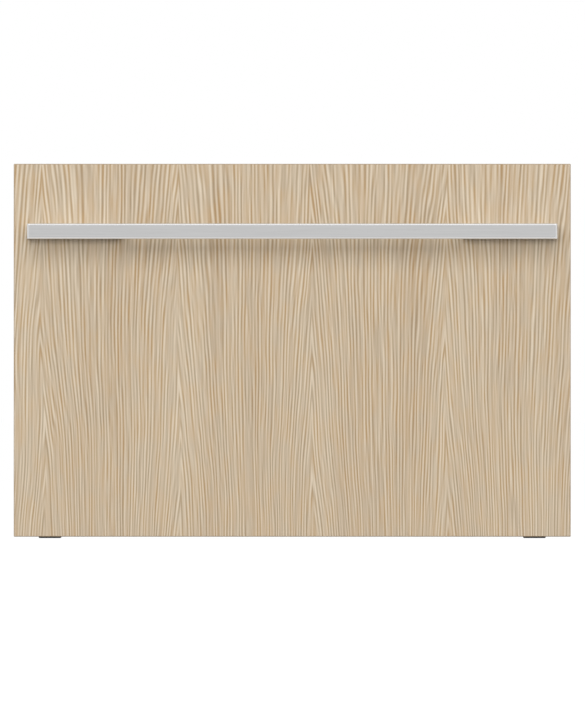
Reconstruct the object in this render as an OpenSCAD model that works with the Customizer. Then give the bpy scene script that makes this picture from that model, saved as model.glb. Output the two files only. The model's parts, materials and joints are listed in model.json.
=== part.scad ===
// A built-in dishwasher drawer: a folded steel chassis with a lid that drops onto the tub,
// and a tub behind a wood front panel that rolls out on two ball-bearing slides.
// Millimetres. X runs across the front, Y from the front to the back, and Z is up.
// The origin is the middle of the footprint, on the surface that the pads stand on.

/* [Chassis] */
// Width of the steel chassis
chassis_w = 590; // [570:1:640]
// Height of the chassis top above the floor
chassis_h = 396; // [388:1:440]
// Depth of the chassis from its front edge to its back sheet
chassis_d = 530; // [526:1:600]
// Thickness of the folded sheet steel
sheet_t = 1; // [0.8:0.1:1.4]
// Width of the flange folded inward around the front opening
front_flange = 13; // [10:0.5:14]
// Height of the flange folded up along the base
base_flange = 12; // [8:1:14]
// Depth of the beads pressed into the sheets
bead_depth = 0.5; // [0.3:0.1:0.6]
// Width of a pressed bead
bead_w = 12; // [8:1:20]
// Height of the rubber pads under the base
pad_h = 3; // [2:0.5:5]
// Length of a rubber pad
pad_l = 44; // [30:1:60]
// Width of a rubber pad
pad_w = 24; // [16:1:30]
// Height of the drip tray wall
tray_h = 18; // [12:1:20]
// Radius of the holes for the screws into the kitchen cabinet
cabinet_hole_r = 2.5; // [2:0.1:3]
// Height of the lower cabinet screw hole
cabinet_hole_z = 60; // [40:1:70]
// Distance between the two cabinet screw holes on a side
cabinet_hole_pitch = 260; // [240:1:270]
// Distance of the cabinet screw holes behind the chassis front
cabinet_hole_y = 24; // [20:1:30]

/* [Front panel and handle] */
// Thickness of the wood front panel
panel_t = 19; // [16:0.5:22]
// How far the panel laps past each side of the chassis
panel_side_lap = 3; // [1:0.5:6]
// How far the panel rises above the chassis top
panel_top_lap = 5; // [2:0.5:8]
// Gap between the panel and the floor
panel_floor_gap = 2; // [1:0.5:5]
// Width of the small bevel along the panel edges
panel_bevel = 0.6; // [0.3:0.1:1]
// Distance from each end of the handle bar to the side of the panel
handle_inset = 14.8; // [10:0.2:60]
// Height of the handle bar
handle_h = 16.6; // [12:0.2:20]
// Depth of the handle bar, front to back
bar_t = 12; // [8:0.5:14]
// Distance from the panel to the front of the bar
handle_reach = 40; // [34:0.5:50]
// Distance from the top of the panel to the top of the bar
handle_drop = 64; // [56:0.5:70]
// Width of each post that carries the bar
post_w = 101.4; // [70:0.2:120]
// Bevel along the edges of the bar and posts
handle_bevel = 0.9; // [0.4:0.1:1.2]
// Radius of the handle screws
handle_screw_r = 2; // [1.5:0.1:2.5]
// Depth of the moulded carrier behind the panel
carrier_d = 22; // [20:0.5:26]
// Wall of the moulded carrier
carrier_wall = 2.5; // [2:0.1:3]
// Gap between the carrier and the chassis front when the drawer is shut
door_gap = 2; // [1.5:0.1:3]

/* [Tub] */
// Wall of the tub
tub_wall = 3; // [2.5:0.1:4]
// Thickness of the tub floor
tub_floor_t = 4; // [3:0.1:5]
// Height of the tub's underside above the floor
tub_base_z = 72; // [70:0.5:76]
// Outer radius of the tub's upright corners
tub_corner_r = 45; // [36:1:50]
// Outer radius where the tub's walls meet its floor
tub_floor_r = 26; // [18:1:28]
// Width of the flange around the tub's rim
rim_flange = 10; // [8:0.5:12]
// Thickness of the flange around the tub's rim
rim_t = 3; // [2.5:0.1:4]
// Space for the lid and its lifters above the tub's rim
lid_space = 48; // [46:0.5:56]
// Radius of the sump in the tub floor
sump_r = 60; // [56:1:66]
// Depth of the sump below the tub's underside
sump_drop = 14; // [12:0.5:15]

/* [Slides] */
// Length of a slide
slide_l = 500; // [460:1:510]
// How far the drawer pulls out
slide_travel = 500; // [440:1:500]
// Thickness of a slide across all three rails
slide_t = 12.7; // [12.5:0.1:14]
// Height of a slide
slide_h = 45.6; // [45:0.1:50]
// Height of the middle of the slide above the floor
slide_z = 115; // [110:1:140]
// Distance of the slide behind the chassis front
slide_setback = 15; // [10:1:16]
// Thickness of the rail steel
rail_t = 1.2; // [1:0.05:1.3]
// Diameter of the slide balls
ball_d = 4.8; // [4.4:0.1:4.8]
// Balls in one row of a cage
balls_in_row = 8; // [4:1:10]
// Length of a ball cage
cage_l = 200; // [160:1:220]

/* [Lid] */
// How far the lid drops to seal the tub
lid_drop = 10; // [8:0.5:11]
// Height of the lid seal
seal_h = 6; // [5:0.5:8]
// Width of the lid seal
seal_w = 8; // [6:0.5:9]
// Thickness of the lid plate
lid_t = 3; // [2.5:0.1:4]
// Height of the ribs on the lid plate
lid_rib_h = 8.5; // [6:0.5:9]
// Radius of the pins that carry the lid
lid_pin_r = 3; // [2.5:0.1:3.2]
// Thickness of the yoke plates beside the lid
yoke_t = 4; // [3:0.1:4.5]
// Height of the yoke plates
yoke_h = 28; // [27:0.5:30]
// Gear module of the yoke rack and its pinion
gear_module = 1; // [0.9:0.05:1]
// Teeth on the lid pinion
pinion_teeth = 18; // [18:1:19]

/* [Wash system] */
// Reach of the spray arm from its hub
spray_reach = 215; // [180:1:220]
// Width of the spray arm
spray_w = 46; // [36:1:56]
// Height of the spray arm
spray_h = 12; // [9:0.5:14]
// Radius of the filter plate
filter_r = 150; // [120:1:170]
// Radius of the holes in the filter plate
filter_hole_r = 3; // [2:0.1:3.5]
// Outer radius of the riser that feeds the spray arm
riser_r = 16; // [13:0.5:17]
// Radius of the lift-out drain filter
drain_filter_r = 16; // [12:0.5:17]
// Radius of the wash motor housing
motor_r = 72; // [68:1:80]
// Height of the wash motor housing
motor_h = 30; // [28:0.5:32]
// Radius of the motor shaft
shaft_r = 4; // [3:0.1:5]
// Radius of the pump impeller
impeller_r = 22; // [16:0.5:23]

/* [Basket] */
// Diameter of the coated basket wire
wire_d = 4; // [3.4:0.1:4.4]
// Space between the basket's legs and the tub wall at each side
basket_side_gap = 17; // [15:0.5:26]
// Space between the basket's legs and the face of the dispenser
basket_front_gap = 7; // [7:0.5:20]
// Space between the basket's legs and the tub wall at the rear
basket_rear_gap = 15; // [13:0.5:26]
// Height of the basket floor wires above the floor
basket_floor_z = 112.5; // [111:0.5:118]
// Distance of the basket rim below the dispenser
basket_top_gap = 16; // [14:0.5:24]
// Bend radius of the basket wires
wire_bend_r = 7.5; // [6:0.5:12]
// Wires that cross the basket from side to side
cross_wires = 11; // [7:1:13]
// Wires that run from front to back
long_wires = 13; // [9:2:15]
// Distance of the tine tips below the hinges of the cup racks
tine_top_gap = 6.3; // [6:0.1:30]
// Radius of a tine
tine_r = 1.6; // [1.3:0.1:1.8]
// Reach of a cup rack from its hinge
cup_rack_reach = 77; // [60:1:80]
// Length of a cup rack
cup_rack_l = 325; // [280:1:330]
// Thickness of a cup rack
cup_rack_t = 4; // [3:0.5:5]
// Width of the cutlery basket
cutlery_w = 230; // [180:1:240]
// Depth of the cutlery basket
cutlery_d = 58; // [44:1:60]
// Height of the cutlery basket
cutlery_h = 116; // [90:1:120]
// Wall of the cutlery basket
cutlery_wall = 2; // [1.6:0.1:2.5]
// Compartments in the cutlery basket
cutlery_cells = 5; // [3:1:6]

/* [Detergent dispenser] */
// Distance of the dispenser below the tub's rim
dispenser_drop = 36; // [30:1:40]
// Width of the dispenser housing
dispenser_w = 220; // [200:1:230]
// Height of the dispenser housing
dispenser_h = 90; // [84:1:96]
// Depth of the dispenser housing
dispenser_d = 22; // [20:0.5:24]
// Width of the detergent flap
flap_w = 88; // [76:1:92]
// Height of the detergent flap
flap_h = 76; // [66:1:78]
// Thickness of the detergent flap
flap_t = 2.5; // [2:0.1:3]
// Radius of the rinse aid cap
rinse_cap_r = 19; // [16:0.5:22]

/* [Controls] */
// Radius of a push button
button_r = 5.5; // [4:0.1:6]
// Travel of a push button
button_travel = 1; // [0.6:0.1:1.1]
// Distance between push buttons
button_pitch = 60; // [40:1:64]
// Thickness of the control strip
strip_t = 3; // [2.5:0.1:3.2]

/* [Hose link] */
// Length of a link arm between its pivots
arm_l = 440; // [420:1:448]
// Width of a link arm
arm_w = 16; // [14:0.5:18]
// Height of a link arm
arm_h = 18; // [16:0.5:20]
// Radius of the water hose in the link
hose_r = 5.5; // [4.5:0.1:5.8]
// Play left round the pin at the tub end of the link
link_play = 8; // [7.9:0.1:8.1]

/* [Ports] */
// How far the water and drain ports reach behind the back sheet
port_reach = 18; // [14:0.5:24]
// Outer radius of the water inlet thread
inlet_r = 13.22; // [10:0.01:14]
// Outer radius of the drain spigot
drain_r = 9.5; // [8:0.1:11]
// Bore radius of the mains cable gland
gland_bore_r = 4.2; // [3.5:0.1:5]

/* [Hidden] */
$fn = 48;

// Clearances
run_gap = 0.1;      // a pin or shaft in its bore
seat_gap = 0.3;     // a loose piece and its seat
wire_gap = 0.1;     // two basket wires that cross
slot_gap = 0.15;    // a pin in a slot
over = 1;           // how far a cut runs past what it cuts
eye_spare = 0.3;    // left between the link's pin and its eye at the ends of the play

// Places along Y are measured from the chassis front, and front_y puts that in the frame
front_y = (handle_reach + panel_t + carrier_d + door_gap - chassis_d - port_reach) / 2;
side_x = chassis_w / 2 - sheet_t;
back_y = chassis_d - sheet_t;
base_top_z = pad_h + sheet_t;
top_under_z = chassis_h - sheet_t;

// Panel and carrier
panel_w = chassis_w + 2 * panel_side_lap;
panel_top_z = chassis_h + panel_top_lap;
panel_h = panel_top_z - panel_floor_gap;
handle_l = panel_w - 2 * handle_inset;
carrier_back_y = -door_gap;
panel_back_y = carrier_back_y - carrier_d;
panel_front_y = panel_back_y - panel_t;
bar_back_y = panel_front_y - handle_reach + bar_t;
carrier_w = chassis_w - 4;
carrier_z0 = pad_h + 3;
carrier_z1 = chassis_h - 2;
handle_z = panel_top_z - handle_drop - handle_h / 2;
post_screw_inset = post_w / 4;
panel_screw_xs = [-0.37 * panel_w, -0.1 * panel_w, 0.1 * panel_w, 0.37 * panel_w];
bracket_h = 24;
bracket_t = 2;
bracket_w = 0.86 * panel_w;
bracket_zs = [60, carrier_z1 - 29];
screw_head_r = 4;
screw_head_t = 2.5;
wood_screw_r = 1.75;
wood_screw_l = 14;

// Tub
rim_z = chassis_h - lid_space;
tub_boss_l = 13.3;
tub_w = 2 * (side_x - slide_t - tub_boss_l);
tub_y0 = rim_flange + 2;
tub_rear_space = 46;
tub_l = chassis_d - tub_rear_space - tub_y0;
tub_mid_y = tub_y0 + tub_l / 2;
tub_in_z = tub_base_z + tub_floor_t;
tub_in_w = tub_w - 2 * tub_wall;
tub_in_y0 = tub_y0 + tub_wall;
tub_in_l = tub_l - 2 * tub_wall;
sump_z = tub_base_z - sump_drop;
sump_floor_t = 4;
ledge_t = 6;

// Slides, in heights above and below the middle of the slide
ball_gap = 0.15;
ball_track = ball_d + 2 * ball_gap;
outer_half = slide_h / 2;
middle_half = outer_half - rail_t - ball_track;
inner_half = middle_half - rail_t - ball_track;
outer_ball_w = outer_half - rail_t - ball_track / 2;
inner_ball_w = middle_half - rail_t - ball_track / 2;
cage_t = 0.6;
rail_gap = 0.2;
middle_web_u = rail_t + cage_t + 2 * rail_gap;
inner_cage_u = middle_web_u + rail_t + rail_gap;
inner_flange_u = inner_cage_u + cage_t + rail_gap;
outer_ball_u = 7;
inner_ball_u = 8;
cage_reach = 3.2;
cage_y = slide_setback + (slide_l - cage_l) / 2;

// Lid
lid_seal_z = rim_z + lid_drop + seat_gap;
lid_plate_z = lid_seal_z + seal_h;
lid_pin_z = lid_plate_z + lid_t + 2.7;
lid_w = tub_w + 2 * rim_flange;
lid_y0 = tub_y0 - rim_flange;
lid_l = tub_l + 2 * rim_flange;
pin_inset = 58;
lid_pin_ys = [lid_y0 + pin_inset, lid_y0 + lid_l - pin_inset - 6];
yoke_x = lid_w / 2 + 3;
yoke_z = lid_pin_z - lid_drop - lid_pin_r - 5;
yoke_y0 = lid_pin_ys[0] - lid_drop - 6;
yoke_y1 = back_y - lid_drop - 1.5;
guide_x = yoke_x + yoke_t + 0.5;
guide_half_l = 14;
guide_ledge = 3.5;
pinion_r = gear_module * pinion_teeth / 2;
pinion_y = back_y - 17;
rack_pitch_z = yoke_z - 1.25 * gear_module;
pinion_z = rack_pitch_z - pinion_r;
backlash = 0.12;
lid_motor_w = 36;
lid_motor_gap = 0.5;

// Wash system
spray_z = 90;
filter_z = tub_in_z + seat_gap;
filter_t = 2.7;
drain_filter_x = impeller_r + drain_filter_r + 3;
motor_z = sump_z - motor_h;
motor_wall = 2.5;
stator_gap = 9;
stator_w = 20;

// Dispenser
dispenser_z0 = rim_z - dispenser_drop - dispenser_h;
dispenser_y = tub_in_y0;
dispenser_face_y = dispenser_y + dispenser_d;
flap_x0 = -dispenser_w / 2 + 11;
barrel_r = 2.2;
flap_pin_r = 1.5;
flap_hinge_y = dispenser_face_y + seat_gap + barrel_r;
flap_hinge_z = dispenser_z0 + 8;
rinse_x = dispenser_w / 4;
rinse_z = dispenser_z0 + dispenser_h / 2;
rinse_stem_r = 12;

// Basket
wire_r = wire_d / 2;
basket_w = tub_in_w - 2 * basket_side_gap;
basket_y0 = dispenser_face_y + basket_front_gap;
basket_d = tub_in_y0 + tub_in_l - basket_rear_gap - basket_y0;
long_wire_z = basket_floor_z + wire_d + wire_gap;
rim_wire_z = dispenser_z0 - basket_top_gap;
basket_h = rim_wire_z - basket_floor_z;
leg_top_z = rim_wire_z + wire_r;
ring_out = wire_d + wire_gap;
ring_corner_r = 20;
cross_pitch = (basket_d - 36) / (cross_wires - 1);
long_pitch = (basket_w - 52) / (long_wires - 1);
wire_top_z = long_wire_z + wire_r;
pivot_r = 2;
clip_r = pivot_r + 3;
tine_pivot_z = wire_top_z + wire_gap + clip_r - 1;
front_tine_y = basket_y0 + 0.25 * basket_d;
rear_tine_y = basket_y0 + 0.68 * basket_d;
rack_hinge_x = basket_w / 2 - 9;
rack_hinge_z = leg_top_z + 5;
tine_l = rack_hinge_z - tine_top_gap - tine_pivot_z;
rack_y0 = basket_y0 + 16;
rack_clips = [0, 4, 8];
cutlery_x0 = basket_w / 2 - 28 - cutlery_w;
cutlery_y1 = basket_y0 + basket_d - wire_bend_r - 3.5;

// Controls
strip_z = carrier_z1;
strip_w = carrier_w - 6;
strip_d = carrier_d - 2;
strip_y = carrier_back_y - carrier_d / 2;
button_proud = 1.4;
button_x0 = -1.5 * button_pitch;
flange_t = 2;
switch_gap = 0.2;
board_t = 1.6;
switch_h = 3;
button_flange_z = strip_z - seat_gap - flange_t;
switch_top_z = button_flange_z - button_travel - switch_gap;
board_z = switch_top_z - switch_h - board_t;
controller_w = 170;

// Hose link
link_pin_r = 2.5;
link_x = 38 - tub_w / 2;
link_y = back_y - 15;
rear_arm_z = slide_z + slide_h / 2 + 12.2;
arm_step = 2;
front_arm_z = rear_arm_z + arm_h + arm_step;
arm_wall = 2;
arm_end_r = 8;
eye_r = link_pin_r + link_play + eye_spare;
eye_wall = 2.5;

// Ports
port_z = 62;
inlet_x = side_x - 94;
drain_x = inlet_x - 60;
gland_x = 74 - side_x;
valve_w = 38;
valve_h = 40;
shoulder_t = 2;

// ---------------------------------------------------------------- helpers

// Puts what is measured from the chassis front into the frame
module at_front() translate([0, front_y, 0]) children();

// Runs a profile drawn in X and Z along Y
module along_y(y0, l) translate([0, y0 + l, 0]) rotate([90, 0, 0]) linear_extrude(l) children();

// Runs a profile drawn in Y and Z along X
module along_x(x0, l) translate([x0, 0, 0]) rotate([90, 0, 90]) linear_extrude(l) children();

// Runs a profile drawn in X and Y up Z
module along_z(z0, h) translate([0, 0, z0]) linear_extrude(h) children();

// A box from its lowest corner to its highest
module block(a, b) translate(a) cube([b[0] - a[0], b[1] - a[1], b[2] - a[2]]);

// A round bar along X, Y or Z, from a point
module bar_x(p, r, l) translate(p) rotate([0, 90, 0]) cylinder(r = r, h = l);
module bar_y(p, r, l) translate(p) rotate([-90, 0, 0]) cylinder(r = r, h = l);
module bar_z(p, r, l) translate(p) cylinder(r = r, h = l);

// What is drawn for the right side, on side 1, or mirrored to the left, on side -1
module on_side(s) mirror([s < 0 ? 1 : 0, 0, 0]) children();

// A rectangle with round corners, in the middle of the plane
module rounded_rect(w, d, r) {
    square([w - 2 * r, d], center = true);
    square([w, d - 2 * r], center = true);
    for (sx = [-1, 1], sy = [-1, 1])
        translate([sx * (w / 2 - r), sy * (d / 2 - r)]) circle(r);
}

// An upright rectangle with its two lower corners round
module round_bottomed(w, z0, z1, r) {
    translate([-w / 2, z0 + r]) square([w, z1 - z0 - r]);
    translate([-w / 2 + r, z0]) square([w - 2 * r, r]);
    for (s = [-1, 1]) translate([s * (w / 2 - r), z0 + r]) circle(r);
}

// A rectangle with its corners cut, in the middle of the plane
module bevelled_rect(w, h, c) polygon([
    [-w / 2 + c, -h / 2], [w / 2 - c, -h / 2], [w / 2, -h / 2 + c], [w / 2, h / 2 - c],
    [w / 2 - c, h / 2], [-w / 2 + c, h / 2], [-w / 2, h / 2 - c], [-w / 2, -h / 2 + c]
]);

// A box with bevelled edges, from its middle
module bevelled_block(size, c) intersection() {
    along_z(-size[2] / 2, size[2]) bevelled_rect(size[0], size[1], c);
    along_y(-size[1] / 2, size[1]) bevelled_rect(size[0], size[2], c);
    along_x(-size[0] / 2, size[0]) bevelled_rect(size[1], size[2], c);
}

// ---------------------------------------------------------------- chassis

screw_inset = sheet_t + front_flange / 2;
top_screw_ys = [0.05 * chassis_d, 0.34 * chassis_d, 0.66 * chassis_d, 0.95 * chassis_d];
back_screw_zs = [0.1 * chassis_h, 0.38 * chassis_h, 0.68 * chassis_h, 0.93 * chassis_h];
sheet_screw_r = 1.5;
sheet_head_r = 3.5;
sheet_head_t = 1.8;
sheet_screw_l = 5;

// Beads pressed in from the outside of a sheet lying in Y and Z, on its outer face at x
module side_beads(x) for (z = [0.53 * chassis_h, 0.66 * chassis_h, 0.79 * chassis_h])
    along_x(x - bead_depth, bead_depth + over) translate([chassis_d / 2, z])
        rounded_rect(0.66 * chassis_d, bead_w, bead_w / 2 - 0.01);

// The same beads standing proud of the sheet's inner face
module side_bead_backs(x) for (z = [0.53 * chassis_h, 0.66 * chassis_h, 0.79 * chassis_h])
    along_x(x - bead_depth, bead_depth) translate([chassis_d / 2, z])
        rounded_rect(0.66 * chassis_d + 2, bead_w + 2, bead_w / 2);

module chassis_side(s) color("silver") at_front() on_side(s) difference() {
    union() {
        block([side_x, 0, pad_h], [side_x + sheet_t, chassis_d, top_under_z]);
        block([side_x - front_flange, 0, pad_h], [side_x, sheet_t, top_under_z]);
        block([side_x - front_flange, sheet_t, top_under_z - sheet_t],
            [side_x, back_y - sheet_t, top_under_z]);
        block([side_x - front_flange, back_y - sheet_t, base_top_z],
            [side_x, back_y, top_under_z]);
        side_bead_backs(side_x);
    }
    side_beads(side_x + sheet_t);
    // The slide runs out through this notch in the front flange
    block([side_x - front_flange - over, -over, slide_z - slide_h / 2 - 2],
        [side_x, sheet_t + over, slide_z + slide_h / 2 + 2]);
    for (k = [0, 1])
        bar_x([side_x - over, cabinet_hole_y, cabinet_hole_z + k * cabinet_hole_pitch],
            cabinet_hole_r, sheet_t + 2 * over);
    for (y = top_screw_ys)
        bar_z([side_x + sheet_t - screw_inset, y, top_under_z - sheet_t - over],
            sheet_screw_r + run_gap, sheet_t + 2 * over);
    for (z = back_screw_zs)
        bar_y([side_x + sheet_t - screw_inset, back_y - sheet_t - over, z],
            sheet_screw_r + run_gap, sheet_t + 2 * over);
}

module chassis_top() color("silver") at_front() difference() {
    union() {
        block([-chassis_w / 2, 0, top_under_z], [chassis_w / 2, chassis_d, chassis_h]);
        block([-side_x + front_flange, 0, top_under_z - front_flange],
            [side_x - front_flange, sheet_t, top_under_z]);
        for (k = [-1, 1]) translate([k * 0.22 * chassis_w, chassis_d / 2, 0])
            along_z(top_under_z - bead_depth, bead_depth)
                rounded_rect(bead_w + 2, 0.7 * chassis_d + 2, bead_w / 2);
    }
    for (k = [-1, 1]) translate([k * 0.22 * chassis_w, chassis_d / 2, 0])
        along_z(chassis_h - bead_depth, bead_depth + over)
            rounded_rect(bead_w, 0.7 * chassis_d, bead_w / 2 - 0.01);
    for (s = [-1, 1], y = top_screw_ys)
        bar_z([s * (side_x + sheet_t - screw_inset), y, top_under_z - over],
            sheet_screw_r + run_gap, sheet_t + 2 * over);
}

// The back sheet, with the bracket and pin that the hose link turns on
module chassis_back() color("silver") at_front() {
    difference() {
        block([-side_x, back_y, base_top_z], [side_x, chassis_d, top_under_z]);
        for (s = [-1, 1], z = back_screw_zs)
            bar_y([s * (side_x + sheet_t - screw_inset), back_y - over, z],
                sheet_screw_r + run_gap, sheet_t + 2 * over);
        bar_y([inlet_x, back_y - over, port_z], inlet_r + shoulder_t + seat_gap, sheet_t + 2 * over);
        bar_y([drain_x, back_y - over, port_z], drain_r + seat_gap, sheet_t + 2 * over);
        bar_y([gland_x, back_y - over, port_z], gland_bore_r + 3 + seat_gap, sheet_t + 2 * over);
        for (k = [0 : 5])
            along_y(back_y - over, sheet_t + 2 * over)
                translate([0, 0.68 * chassis_h + 9 * k]) rounded_rect(120, 4, 1.9);
    }
    block([link_x - 12, link_y - 9, rear_arm_z - seat_gap - 3.5],
        [link_x + 12, back_y, rear_arm_z - seat_gap]);
    bar_z([link_x, link_y, rear_arm_z - seat_gap - 1], link_pin_r, arm_h + seat_gap + 1.3);
}

module chassis_base() color("silver") at_front() {
    block([-side_x, sheet_t, pad_h], [side_x, chassis_d, base_top_z]);
    block([-side_x + front_flange, 0, pad_h], [side_x - front_flange, sheet_t, base_top_z + tray_h - 2]);
    for (s = [-1, 1]) on_side(s)
        block([side_x - sheet_t, sheet_t, base_top_z],
            [side_x, back_y - sheet_t, base_top_z + base_flange]);
}

module drip_tray() color("dimgray") at_front() difference() {
    wall = 2;
    out_x = side_x - sheet_t - 2;
    block([-out_x, 3, base_top_z], [out_x, back_y - 3, base_top_z + tray_h]);
    block([-out_x + wall, 3 + wall, base_top_z + wall],
        [out_x - wall, back_y - 3 - wall, base_top_z + tray_h + over]);
}

module rubber_pads() color("black") at_front()
    for (s = [-1, 1], y = [40, chassis_d - 40])
        translate([s * (side_x - 34), y, 0]) along_z(0, pad_h)
            rounded_rect(pad_w, pad_l, 4);

// Soft strips that the shut drawer presses on, above and below each slide and along the top
module front_trim_seal() color("gray") at_front() {
    strip_t = door_gap - seat_gap;
    x0 = side_x - front_flange + 2;
    x1 = side_x - 1;
    notch = slide_h / 2 + 4;
    for (s = [-1, 1]) on_side(s) {
        block([x0, -strip_t, slide_z + notch], [x1, 0, top_under_z - 2]);
        block([x0, -strip_t, carrier_z0 + 4], [x1, 0, slide_z - notch]);
    }
    block([seat_gap - x0, -strip_t, top_under_z - front_flange + 2],
        [x0 - seat_gap, 0, top_under_z - 2]);
}

// One valve: a threaded inlet through the back sheet, a body, and a coil on top
module inlet_valve() color("white") at_front() {
    depth = tub_rear_space - 14;
    block([inlet_x - valve_w / 2, back_y - depth, port_z - valve_h / 2],
        [inlet_x + valve_w / 2, back_y - seat_gap, port_z + valve_h / 2]);
    difference() {
        union() {
            bar_y([inlet_x, back_y - 1, port_z], inlet_r + shoulder_t, sheet_t + shoulder_t + 1);
            bar_y([inlet_x, chassis_d, port_z], inlet_r, port_reach);
        }
        bar_y([inlet_x, chassis_d - 1, port_z], inlet_r - 4, port_reach + 1 + over);
    }
    bar_z([inlet_x, back_y - depth / 2, port_z + valve_h / 2 - 1], 12, 21);
    bar_z([inlet_x, back_y - depth / 2, port_z + valve_h / 2 + 19], 4, 4);
    block([inlet_x - 5, back_y - depth / 2 - 9, port_z + valve_h / 2 + 16],
        [inlet_x + 5, back_y - depth / 2 + 9, port_z + valve_h / 2 + 24]);
    bar_x([inlet_x - valve_w / 2 - 18, back_y - depth / 2, port_z], 6, 19);
}

// A spigot for the drain hose, with a flange that is screwed to the back sheet
module drain_outlet() color("gray") at_front() difference() {
    union() {
        bar_y([drain_x, back_y - 18, port_z], drain_r, 18 + sheet_t + port_reach);
        bar_y([drain_x, chassis_d, port_z], drain_r + 7, 2.5);
        bar_y([drain_x, back_y - 3, port_z], drain_r + 4, 3);
    }
    bar_y([drain_x, back_y - 18 - over, port_z], drain_r - 2, 18 + sheet_t + port_reach + 2 * over);
}

// The gland that a mains cable comes in through
module cable_gland() color("black") at_front() difference() {
    union() {
        bar_y([gland_x, back_y - 12, port_z], gland_bore_r + 3, 12 + sheet_t + 12);
        translate([gland_x, chassis_d, port_z]) rotate([-90, 0, 0])
            cylinder(r = gland_bore_r + 7.5, h = 6, $fn = 6);
        translate([gland_x, back_y, port_z]) rotate([90, 0, 0])
            cylinder(r = gland_bore_r + 7.5, h = 5, $fn = 6);
    }
    bar_y([gland_x, back_y - 12 - over, port_z], gland_bore_r, 24 + sheet_t + 2 * over);
}

module chassis_screws() color("lightgray") at_front() for (s = [-1, 1]) {
    x = s * (side_x + sheet_t - screw_inset);
    for (y = top_screw_ys) {
        bar_z([x, y, chassis_h], sheet_head_r, sheet_head_t);
        bar_z([x, y, chassis_h - sheet_screw_l], sheet_screw_r, sheet_screw_l);
    }
    for (z = back_screw_zs) {
        bar_y([x, chassis_d, z], sheet_head_r, sheet_head_t);
        bar_y([x, chassis_d - sheet_screw_l, z], sheet_screw_r, sheet_screw_l);
    }
}

// ---------------------------------------------------------------- slides

// A channel for the right side, drawn from the chassis wall inward: its web at u0, its flanges to u1
module channel(u0, u1, half, web_inside) {
    web_u = web_inside ? u1 - rail_t : u0;
    translate([side_x - web_u - rail_t, slide_z - half]) square([rail_t, 2 * half]);
    for (s = [-1, 1])
        translate([side_x - u1, slide_z + s * (half - rail_t / 2) - rail_t / 2])
            square([u1 - u0, rail_t]);
}

module outer_rail(s) color("lightgray") at_front() on_side(s)
    along_y(slide_setback, slide_l) {
        channel(0, slide_t - 0.3, outer_half, false);
        for (k = [-1, 1])
            translate([side_x - slide_t + 0.3, slide_z + k * (outer_half - 1.2) - 1.2])
                square([rail_t, 2.4]);
    }

module middle_rail(s) color("lightgray") at_front() on_side(s)
    along_y(slide_setback, slide_l)
        channel(middle_web_u, slide_t - 0.3, middle_half, false);

module inner_rail(s) color("lightgray") at_front() on_side(s)
    along_y(slide_setback, slide_l)
        channel(inner_flange_u, slide_t, inner_half, true);

// A cage of two rows of balls, held in a folded strip
module ball_cage(web_u, ball_u, ball_w) {
    pitch = cage_l / balls_in_row;
    tip_u = ball_u + cage_reach;
    module row_places() for (k = [0 : balls_in_row - 1])
        translate([side_x - ball_u, cage_y + pitch * (k + 0.5), 0]) children();
    difference() {
        along_y(cage_y, cage_l) {
            translate([side_x - web_u - cage_t, slide_z - ball_w - 0.5]) square([cage_t, 2 * ball_w + 1]);
            for (s = [-1, 1])
                translate([side_x - tip_u, slide_z + s * ball_w - 0.5]) square([tip_u - web_u, 1]);
        }
        row_places() bar_z([0, 0, slide_z - slide_h], ball_d / 2 + run_gap, 2 * slide_h);
    }
    for (s = [-1, 1]) row_places() translate([0, 0, slide_z + s * ball_w]) sphere(d = ball_d);
}

module outer_ball_cages() color("gold") at_front() for (s = [-1, 1]) on_side(s)
    ball_cage(rail_t + rail_gap, outer_ball_u, outer_ball_w);

module inner_ball_cages() color("gold") at_front() for (s = [-1, 1]) on_side(s)
    ball_cage(inner_cage_u, inner_ball_u, inner_ball_w);

// ---------------------------------------------------------------- lid and lifters

module lid_outline(inset) translate([0, lid_y0 + lid_l / 2])
    rounded_rect(lid_w - 2 * inset, lid_l - 2 * inset, tub_corner_r + rim_flange - inset);

module lid_pan() color("whitesmoke") at_front() {
    along_z(lid_plate_z, lid_t) lid_outline(0);
    difference() {
        along_z(lid_plate_z + lid_t, lid_rib_h) lid_outline(0);
        along_z(lid_plate_z + lid_t - over, lid_rib_h + 2 * over) lid_outline(3);
    }
    for (k = [-2 : 2]) translate([k * lid_w / 6 - 1.25, lid_y0 + 2, lid_plate_z + lid_t])
        cube([2.5, lid_l - 4, lid_rib_h - 2]);
    for (k = [-1 : 1])
        translate([-lid_w / 2 + 2, lid_y0 + lid_l / 2 + k * lid_l / 4 - 1.25, lid_plate_z + lid_t])
            cube([lid_w - 4, 2.5, lid_rib_h - 2]);
    for (s = [-1, 1], y = lid_pin_ys) on_side(s) {
        bar_x([lid_w / 2 - 1.5, y, lid_pin_z], lid_pin_r, guide_x + 6 - lid_w / 2 + 1.5);
        block([lid_w / 2 - 10, y - 6, lid_plate_z + lid_t],
            [lid_w / 2 - 2, y + 6, lid_plate_z + lid_t + lid_rib_h]);
    }
}

module lid_seal() color("gray") at_front() difference() {
    along_z(lid_seal_z, seal_h) lid_outline(1.5);
    along_z(lid_seal_z - over, seal_h + 2 * over) lid_outline(1.5 + seal_w);
}

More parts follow.
